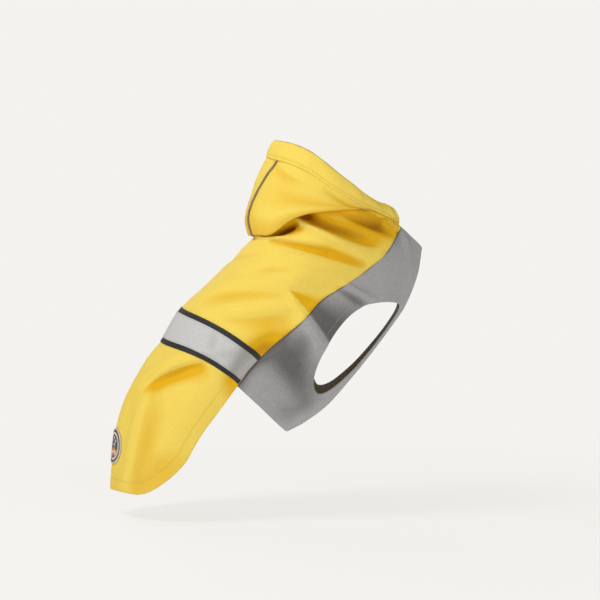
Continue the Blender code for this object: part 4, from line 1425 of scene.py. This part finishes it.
def badge_material():
    """An oval woven badge: a charcoal field, a cream inner line, two orange waves with a
    cream one between them, and five cream raindrops above.

    Every mark is a distance turned to a mask: the line from the oval radius, a wave from
    the height over a sine, a drop from the distance to its middle.
    """
    material, tree, shader = start_material("badge_weave", 0.7, **{"Sheen Weight": 0.15})
    parts = split(tree, cloth_uv(tree))
    down = divide(tree, parts[0], BADGE_HEIGHT / 2)
    side = divide(tree, parts[1], BADGE_WIDTH / 2)
    radius = distance_from(tree, down, side)
    wave = multiply(tree, sine(tree, multiply(tree, side, 9.0)), 0.07)
    over = subtract(tree, down, wave)
    marks = [(mask_band(tree, radius, 0.76, 0.035), CREAM)]
    inside = map_range(tree, radius, 0.66, 0.69, 1.0, 0.0)
    for height, ink in BADGE_WAVES:
        marks.append((multiply(tree, mask_band(tree, over, height, 0.055), inside), ink))
    for drop_down, drop_side in BADGE_DROPS:
        along = multiply(tree, subtract(tree, down, drop_down), 0.62)
        apart = distance_from(tree, along, subtract(tree, side, drop_side))
        marks.append((map_range(tree, apart, 0.055, 0.075, 1.0, 0.0), CREAM))
    colour = CHARCOAL
    for mask, ink in marks:
        colour = mix_colours(tree, mask, colour, ink)
    threads = absolute(tree, sine(tree, divide(tree, parts[1], 0.13 * MM)))
    heights = [multiply(tree, mask, 0.5) for mask, _ in marks]
    raise_grain(tree, shader, add(tree, *heights, threads), 0.15 * MM)
    feed(tree, shader.inputs["Base Color"], colour)
    return material


def mask_band(tree, value, middle, half_width):
    """Return 1 within half_width of a middle value, with a soft edge."""
    off = absolute(tree, subtract(tree, value, middle))
    return map_range(tree, off, half_width, half_width + 0.03, 1.0, 0.0)


# ---------------------------------------------------------------- pieces


def dress(piece, node):
    """Ride on the coat, and stand for a CAD node, whose part is hidden."""
    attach(piece, "root")
    if node:
        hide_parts(node)
    return piece


def at_ring(ring, start, end, points):
    """A line round the coat at one ring: its rings and its angles."""
    angle = np.linspace(start, end, points)
    return np.full_like(angle, ring), angle


def flap_edge():
    """The free edge of the yellow cloth, from the right side seam round the tail hem."""
    left = np.linspace(np.sqrt(TAIL_HEM - BELLY_HEM), 0, FLAP_SIDE_POINTS)
    side = TAIL_HEM - left**2
    across = np.linspace(-1, 1, FLAP_HEM_POINTS)[1:-1] * seam_angle(TAIL_HEM)
    ring = np.concatenate((side, np.full_like(across, TAIL_HEM), side[::-1]))
    angle = np.concatenate((-seam_angle(side), across, seam_angle(side[::-1])))
    return ring, angle


def back_cloth(materials):
    """The yellow panel, from the neckline to the tail hem.

    In the last ring its rows crowd towards the hem, as the square of their share.
    """
    even = rings_between(NECKLINE, TAIL_HEM - 1, BACK_STEPS)
    left = np.linspace(1, 0, TAIL_ROWS)[1:]
    ring = np.concatenate((even, TAIL_HEM - left**2))[:, None]
    gap = np.where(ring < BELLY_HEM, SEWN_EDGE_GAP, FREE_EDGE_GAP) * SHELL_WALL / DEGREE_PITCH
    angle = (seam_angle(ring) - gap) * shares_across(BACK_COLUMNS)[None]
    ring = np.broadcast_to(ring, angle.shape)
    cloth = patch(back_surface(ring, angle), coat_shade(ring, angle))
    hem = Hem(back_surface(*flap_edge()), SHELL_HEM_WALL, HEM_DEPTH)
    return cloth_shell("back_cloth", [cloth], SHELL_WALL, materials, hem)


def hole_ring(turn):
    """The ring that a turn round a leg hole has reached, from its front end."""
    return (HOLE_FRONT + HOLE_REAR) / 2 - (HOLE_REAR - HOLE_FRONT) / 2 * np.cos(turn)


def hole_edge(side):
    """Go once round a leg hole; the opening is the sine of the turn."""
    turn = np.linspace(0, 2 * np.pi, HOLE_EDGE_POINTS)
    ring = hole_ring(turn)
    open_by = np.where(np.sin(turn) > 0, HOLE_ABOVE, HOLE_BELOW) * np.sin(turn)
    return ring, side * (hole_line(ring) - open_by)


def under_cloth(materials):
    """The grey panel: bib, chest and belly in one, with the two leg holes.

    It is three grids, welded where they meet: one on each side, from the side seam to the
    leg hole's upper edge, and one under the belly, between the lower edges.
    """
    front = rings_between(NECKLINE, HOLE_FRONT, BIB_STEPS)
    rear = rings_between(HOLE_REAR, BELLY_HEM, REAR_STEPS)
    hole = hole_ring(np.linspace(0, np.pi, HOLE_STEPS))
    ring = np.concatenate((front[:-1], hole, rear[1:]))[:, None]
    opening = hole_opening(ring)
    seam = seam_angle(ring)
    lap = -np.array(KNIT_LAP_MM) * MM / DEGREE_PITCH
    start = seam + lap[-1]
    top = hole_line(ring) - HOLE_ABOVE * opening
    bottom = hole_line(ring) + HOLE_BELOW * opening
    down = np.linspace(0, 1, SIDE_COLUMNS)[1:]
    upper = np.concatenate((seam + lap, start + (top - start) * down), axis=1)
    lower = bottom + (360 - 2 * bottom) * np.linspace(0, 1, BELLY_COLUMNS)
    patches = []
    for angle in (-upper[:, ::-1], upper, lower):
        at = np.broadcast_to(ring, angle.shape)
        # Painted shade: a dark line on the grey just past the side seam, beside the yellow edge.
        beyond = past_side_seam(at, angle) - SIDE_SEAM_SHADE_PAST
        shade = coat_shade(at, angle) - groove_depth(SIDE_SEAM_SHADE, beyond)
        maps = np.stack((at * RING_PITCH, angle % 360 * DEGREE_PITCH), axis=-1)
        patches.append(Patch(under_surface(at, angle), maps, shade))
    edges = [under_surface(*hole_edge(side)) for side in (-1, 1)]
    for at, start, points in (
        (NECKLINE, HOOD_END, NECK_EDGE_POINTS),
        (BELLY_HEM, seam_angle(BELLY_HEM), BELLY_EDGE_POINTS),
    ):
        edges.append(under_surface(*at_ring(at, start, 360 - start, points)))
    hem = Hem(np.concatenate(edges), KNIT_HEM_WALL, HOLE_HEM_DEPTH)
    return cloth_shell("under_cloth", patches, KNIT_WALL, materials, hem)


def drifted(base, angle):
    """The rings of a line across the back whose ends drift to the head, by sin squared."""
    return base - TAPE_DRIFT * np.sin(np.radians(angle)) ** 2


def cross_strip(name, ring_pair, height, wall, material):
    """A strip across the back panel, from seam to seam, at a height above it."""
    base = np.linspace(*ring_pair, STRIP_STEPS)[:, None]
    reach = seam_angle(base - TAPE_DRIFT) - TAPE_END_GAP
    angle = reach * shares_across(STRIP_COLUMNS)[None]
    ring = drifted(base, angle)
    creases = fold_relief(TAPE_FOLDS, ring, angle, RING_PITCH)
    # Painted shade: the strip's colour takes the coat's painted shade and that of its creases.
    folds = coat_shade(ring, angle) + TAPE_SHADE * creases
    points = back_surface(ring, angle, height + creases)
    return cloth_shell(name, [patch(points, folds)], wall, (material, material))


def hood_panel(name, side, materials):
    """One piece of the hood: side is -1 right, 0 centre, +1 left.

    Above, it runs up inside the casing; below, it goes under the neckline of the coat;
    a side piece goes under the centre strip.
    """
    shown = rings_between(CASING_SEAM, HOOD_SEAM, HOOD_STEPS)
    level = np.concatenate((HOOD_LEVELS_IN_CASING, shown))[:, None]
    strip = strip_angle(level)
    if side == 0:
        angle = (strip - HOOD_STRIP_GAP) * shares_across(HOOD_STRIP_COLUMNS)[None]
        tucked = np.zeros_like(angle)
    else:
        lap = np.array(HOOD_LAP_MM)[None] * MM / DEGREE_PITCH
        even = np.linspace(0, 1, HOOD_SIDE_COLUMNS)[1:-1]
        rest = np.unique(np.concatenate((even, HOOD_END_SHARES)))[None]
        start = strip + lap[:, -1:]
        angle = np.concatenate((strip + lap, start + (HOOD_END - start) * rest), axis=1)
        tucked = 1 - smooth_step(*HOOD_LAP_FADES, (angle - strip) * DEGREE_PITCH)
        if side < 0:
            angle, tucked = -angle[:, ::-1], tucked[:, ::-1]
    level = np.broadcast_to(level, angle.shape)
    in_casing = 1 - smooth_step(*HOOD_CASING_FADES, level)
    points = hood_surface(level, angle, -HOOD_LAP_DEPTH * np.maximum(tucked, in_casing))
    # Painted shade: the hood's colour deepens with its folds, and more at lower levels.
    least, most = HOOD_SHADE_MM
    shade = (least + (most - least) * smooth_step(*HOOD_SHADE_LEVELS, level)) * MM
    folds = fold_relief(HOOD_FOLDS, level, angle, LEVEL_PITCH) - shade
    last = np.broadcast_to(angle[-1:], (len(HOOD_TUCK_RINGS), angle.shape[1]))
    ring = np.broadcast_to(np.array(HOOD_TUCK_RINGS)[:, None], last.shape)
    depth = np.array(HOOD_TUCK_DEPTHS_MM)[:, None] * MM
    hidden = raised(coat_form, ring, last, -depth)
    points = np.concatenate((points, hidden))
    folds = np.concatenate((folds, np.zeros(last.shape)))
    return cloth_shell(name, [patch(points, folds)], HOOD_WALL, materials)


def casing_step(angle):
    """Return how far the casing's sewn edge stands off the hood: most at the back."""
    more = 1 - smooth_step(*CASING_STEP_FADES, np.abs(angle))
    return CASING_STEP * (1 + (CASING_STEP_AT_BACK - 1) * more)


def casing_cloth(materials):
    """The turned channel round the face opening.

    It swells across its depth as a sine, and near its two front ends it is gathered: waves
    along it that grow towards the ends.  Its sewn edge is drawn in and puckered.
    """
    level = CASING_EDGE * np.linspace(0, 1, CASING_ROWS)[:, None]
    angle = HOOD_END * shares_across(CASING_COLUMNS)[None]
    level, angle = np.broadcast_arrays(level, angle)
    end = smooth_step(CASING_GATHERS_FROM, HOOD_END, np.abs(angle))
    gather = 0.8 * uneven_wave(angle * 0.62, 0.9, angle * 0.23) + 0.5 * np.sin(angle * 1.7)
    soft = 0.35 * uneven_wave(angle * 0.37, 1.6, angle * 0.113)
    bowed = np.sin(np.pi * np.clip(level, 0, 1)) ** 0.8
    from_stitches = (level - CASING_DRAWN_IN_AT) * LEVEL_PITCH
    sewn = bell(from_stitches, CASING_STITCH_HALF_WIDTH)
    pucker = 0.25 * uneven_wave(angle * 2.3, 1.3, angle * 0.41) * sewn
    swell = bowed * (1 + gather * end + soft) + pucker - 0.5 * sewn
    points = raised(hood_form, level, angle, casing_step(angle) + swell * MM)
    return cloth_shell("casing_cloth", [patch(points)], CASING_WALL, materials)


def tube(name, centre, up, radius, material):
    """A round tube along a line: circles square to it, of the radius at each point, with
    closed tips."""
    ahead = unit(np.gradient(centre, axis=0))
    side = unit(np.cross(ahead, up))
    turn = full_turn(PIPING_SIDES)
    circle = circle_round(side, np.cross(side, ahead), turn)
    rings = centre[:, None] + circle * radius[:, None, None]
    index = np.arange(rings[..., 0].size).reshape(rings.shape[:2])
    maps = tube_map(length_along(centre), turn)
    return quad_mesh(name, rings.reshape(-1, 3), tube_quads(index), (material,), maps=maps)


def piping(name, side, material):
    """The thin cord that stands on the seam beside the hood's centre strip.

    Its radius rounds off over the last steps to each tip, as a quarter of a circle.
    """
    level = np.linspace(PIPING_START, PIPING_END, PIPING_STEPS)
    angle = side * strip_angle(level)
    centre = hood_surface(level, angle, PIPING_RADIUS * PIPING_STANDS)
    from_tip = np.minimum(np.arange(PIPING_STEPS), np.arange(PIPING_STEPS)[::-1])
    grown = np.clip(from_tip / PIPING_TIP_STEPS, 0.05, 1)
    radius = PIPING_RADIUS * np.sqrt(np.clip(1 - (1 - grown) ** 2, 0.02, 1))
    return tube(name, centre, outward(hood_form, level, angle), radius, material)


def badge_place(down, across, height):
    """Place points on the badge; down and across are shares of its half height and width."""
    ring = BADGE_RING + down * BADGE_HEIGHT / 2 / TAIL_RING_PITCH
    half_width = along_rows(column(COAT_RINGS, "half_width"), ring) * MM
    angle = np.degrees(np.arcsin((BADGE_ASIDE + across * BADGE_WIDTH / 2) / half_width))
    return back_surface(ring, angle, height)


def badge_patch(material):
    """The oval badge: a square grid rounded to a disc by x * sqrt(1 - y * y / 2)."""
    share = np.linspace(-1, 1, BADGE_STEPS)
    row, col = np.meshgrid(share, share, indexing="ij")
    down, across = row * np.sqrt(1 - col**2 / 2), col * np.sqrt(1 - row**2 / 2)
    points = badge_place(down * BADGE_FIELD, across * BADGE_FIELD, BADGE_LIFT)
    maps = np.stack((down * BADGE_HEIGHT / 2, across * BADGE_WIDTH / 2), axis=-1)
    field = Patch(points, maps, np.zeros(down.shape))
    return cloth_shell("badge_patch", [field], BADGE_WALL, (material, material))


def badge_rim(material):
    """The overlocked edge of the badge: a thick thread-wound ring, an ellipse in section."""
    turn = np.linspace(0, 2 * np.pi, BADGE_RIM_STEPS + 1)[:-1]
    centre = badge_place(np.cos(turn) * BADGE_RIM, np.sin(turn) * BADGE_RIM, BADGE_RIM_LIFT)
    ahead = unit(np.roll(centre, -1, axis=0) - np.roll(centre, 1, axis=0))
    out = unit(centre - centre.mean(axis=0))
    side = unit(np.cross(ahead, np.cross(out, ahead)))
    spin = full_turn(BADGE_RIM_SIDES)
    wide, high = BADGE_RIM_RADII
    circle = circle_round(side * wide, np.cross(side, ahead) * high, spin)
    points = (centre[:, None] + circle).reshape(-1, 3)
    index = np.arange(len(points)).reshape(BADGE_RIM_STEPS, BADGE_RIM_SIDES)
    quads = ring_quads(np.concatenate((index, index[:1])))
    maps = tube_map(np.linspace(0, BADGE_RIM_LENGTH, BADGE_RIM_STEPS), spin)
    return quad_mesh("badge_rim", points, quads, (material,), maps=maps)


def hem_row():
    """The row of stitches beside the yellow cloth's free edge, but for its two ends."""
    ring, angle = inset(coat_form, *flap_edge(), HEM_DEPTH - STITCH_INSET)
    shown = slice(HEM_ROW_SKIPS, -HEM_ROW_SKIPS)
    return row_on(back_surface, coat_form, ring[shown], angle[shown])


def casing_row():
    """The row of stitches along the casing's sewn edge."""
    end = HOOD_END - CASING_ROW_GAP
    level, angle = at_ring(CASING_SEAM - CASING_STITCH_INSET, -end, end, CASING_ROW_POINTS)
    points = raised(hood_form, level, angle, casing_step(angle) + CASING_STITCH_LIFT)
    return points, outward(hood_form, level, angle)


def knit_rows():
    """The rows of stitches on the grey cloth: round the leg holes, neck and belly hem."""
    rows = []
    for side in (-1, 1):
        depth = (HOLE_HEM_DEPTH - STITCH_INSET) * -side
        ring, angle = inset(coat_form, *hole_edge(side), depth)
        shown = slice(HOLE_ROW_SKIPS, -HOLE_ROW_SKIPS)
        rows.append(row_on(under_surface, coat_form, ring[shown], angle[shown]))
    inside = HOLE_HEM_DEPTH / RING_PITCH
    for at, start, points in (
        (inside, HOOD_END + NECK_ROW_GAP, NECK_ROW_POINTS),
        (BELLY_HEM - inside, seam_angle(BELLY_HEM) + BELLY_ROW_GAP, BELLY_ROW_POINTS),
    ):
        line = at_ring(at, start, 360 - start, points)
        rows.append(row_on(under_surface, coat_form, *line))
    return rows


def strip_rows(ring_pair, inside, height):
    """The two rows of stitches along a strip, so many rings inside its edges."""
    rows = []
    for base in (ring_pair[0] + inside, ring_pair[1] - inside):
        reach = seam_angle(base - TAPE_DRIFT) - TAPE_END_GAP - TAPE_ROW_GAP
        angle = np.linspace(-reach, reach, STRIP_ROW_POINTS)
        surface = partial(back_surface, height=height)
        rows.append(row_on(surface, coat_form, drifted(base, angle), angle))
    return rows


def sew():
    """Sew all the rows of stitches that show."""
    yellow = thread_material("yellow_thread", THREAD_YELLOW)
    grey = thread_material("grey_thread", THREAD_GREY)
    black = thread_material("black_thread", THREAD_BLACK)
    band_rows = strip_rows(BAND_RINGS, BAND_STITCH_INSET, BAND_HEIGHT)
    tape_rows = strip_rows(TAPE_RINGS, TAPE_STITCH_INSET, TAPE_HEIGHT)
    for name, rows, thread, slot in (
        ("hem_stitches", [hem_row()], yellow, "yellow_shell"),
        ("casing_stitches", [casing_row()], yellow, "yellow_shell"),
        ("grey_stitches", knit_rows(), grey, "grey_knit"),
        ("band_stitches", band_rows, black, "black_webbing"),
        ("tape_stitches", tape_rows, grey, "silver_tape"),
    ):
        dress(stitches(name, rows, thread), None)


# ---------------------------------------------------------------- the studio


def make_floor():
    """A plain round floor: rings of points whose radius grows as the square of the share.

    Far from the coat it takes the backdrop's own brightness, so that no edge shows.
    """
    share = np.linspace(0, 1, FLOOR_RINGS + 1)[1:, None]
    turn = full_turn(FLOOR_SIDES)[None]
    radius = FLOOR_RADIUS * share**2
    x, y = LOOKED_AT[0] + radius * np.cos(turn), radius * np.sin(turn)
    points = np.stack((x, y, np.full_like(x, FLOOR_Z)), axis=-1)
    index = np.arange(x.size).reshape(x.shape)
    quads = np.concatenate((ring_quads(index), fan_quads(index[0])))
    material, tree, shader = start_material("floor_paper", 0.9)
    ray = place(tree, "ShaderNodeLightPath", {}).outputs["Is Camera Ray"]
    paper = mix_colours(tree, ray, FLOOR_UNSEEN, FLOOR_SEEN)
    feed(tree, shader.inputs["Base Color"], paper)
    where = object_point(tree)
    far = place(tree, "ShaderNodeVectorMath", {0: where}, operation="LENGTH").outputs["Value"]
    factor = map_range(tree, far, *FLOOR_FADES, 0.8, 1.0)
    strength = map_range(tree, far, *FLOOR_FADES, 1.04, 1.0)
    glow = place(tree, "ShaderNodeEmission", {"Color": BACKDROP, "Strength": strength}).outputs[0]
    mixed = place(tree, "ShaderNodeMixShader", {0: factor, 1: shader.outputs[0], 2: glow})
    feed(tree, tree.nodes["Material Output"].inputs["Surface"], mixed.outputs[0])
    floor = quad_mesh("floor", points.reshape(-1, 3), quads, (material,))


Lamp = namedtuple("Lamp", "name place aim size power")
LAMPS = (
    Lamp("key softbox", (-0.80, -0.62, 1.45), (0.0, 0.0, -0.05), 0.6, 19.4),
    Lamp("side softbox", (-2.0, -0.9, 0.1), (0.0, 0.0, -0.12), 0.9, 10.5),
    Lamp("front softbox", (0.55, -2.3, 0.15), (0.04, 0.0, -0.1), 1.2, 22.6),
    Lamp("rear softbox", (-0.8, 1.7, 1.1), (0.0, 0.0, -0.1), 1.4, 10),
)


def light_studio():
    """Soft area lamps over an even pale world; the camera sees the backdrop's colour."""
    for lamp in LAMPS:
        data = bpy.data.lights.new(lamp.name, "AREA")
        data.shape = "SQUARE"
        data.size = lamp.size
        data.energy = lamp.power
        made = bpy.data.objects.new(lamp.name, data)
        away = np.array(lamp.place) - lamp.aim
        made.location = lamp.place
        made.rotation_euler = (
            np.arctan2(np.hypot(away[0], away[1]), away[2]),
            0,
            np.arctan2(away[1], away[0]) + np.pi / 2,
        )
        bpy.context.scene.collection.objects.link(made)
    world = bpy.data.worlds.new("studio")
    world.use_nodes = True
    tree = world.node_tree
    tree.nodes.clear()
    seen, fill = (
        place(tree, "ShaderNodeBackground", {"Color": colour, "Strength": strength}).outputs[0]
        for colour, strength in ((BACKDROP, 1.0), (FILL, FILL_STRENGTH))
    )
    ray = place(tree, "ShaderNodeLightPath", {}).outputs["Is Camera Ray"]
    mixed = place(tree, "ShaderNodeMixShader", {0: ray, 1: fill, 2: seen}).outputs[0]
    leave = place(tree, "ShaderNodeOutputWorld", {"Surface": mixed})
    leave.is_active_output = True
    bpy.context.scene.world = world
    bpy.context.scene.view_settings.view_transform = "Standard"


# ---------------------------------------------------------------- making the coat


def build():
    """Make the studio, the materials and every piece of the coat."""
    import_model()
    make_camera()
    light_studio()
    make_floor()
    groups = {
        "weave": weave_group(),
        "knit": knit_group(),
        "handled": handled_group(),
        "hem": hem_group(),
    }
    materials = {cloth.name: cloth_material(cloth, groups) for cloth in CLOTHS}
    shell = (materials["yellow_shell_outside"], materials["yellow_shell_inside"])
    hood_shell = (materials["hood_shell_outside"], materials["hood_shell_inside"])
    knit = (materials["grey_knit_outside"], materials["grey_knit_inside"])
    ribbon, film = materials["black_ribbon"], materials["silver_tape_film"]
    cord = wound_material("piping_braid", 0.6, 0.1, PIPING_BROWN, 1.1 * MM, 0.25 * MM, (0.6, 1.1))
    wound = wound_material("badge_rim_thread", 0.6, 0.2, RIM_GREY, 0.8 * MM, 0.2 * MM, (0.7, 1.05))

    back = dress(back_cloth(shell), "back_panel")
    under = dress(under_cloth(knit), "under_panel")
    band = cross_strip("black_band", BAND_RINGS, BAND_HEIGHT, BAND_HEIGHT, ribbon)
    dress(band, "tape_band")
    tape = cross_strip("silver_tape", TAPE_RINGS, TAPE_HEIGHT, TAPE_WALL, film)
    dress(tape, "reflective_tape")
    hood = [
        dress(hood_panel(name, side, hood_shell), node)
        for name, side, node in (
            ("hood_centre_cloth", 0, "hood_centre"),
            ("hood_left_cloth", 1, "hood_side_left"),
            ("hood_right_cloth", -1, "hood_side_right"),
        )
    ]
    casing = dress(casing_cloth(hood_shell), "hood_rim_casing")
    dress(piping("piping_left", 1, cord), "hood_piping_left")
    dress(piping("piping_right", -1, cord), "hood_piping_right")
    patch_piece = dress(badge_patch(badge_material()), "badge")
    dress(badge_rim(wound), None)
    sew()

    bpy.context.view_layer.update()


build()
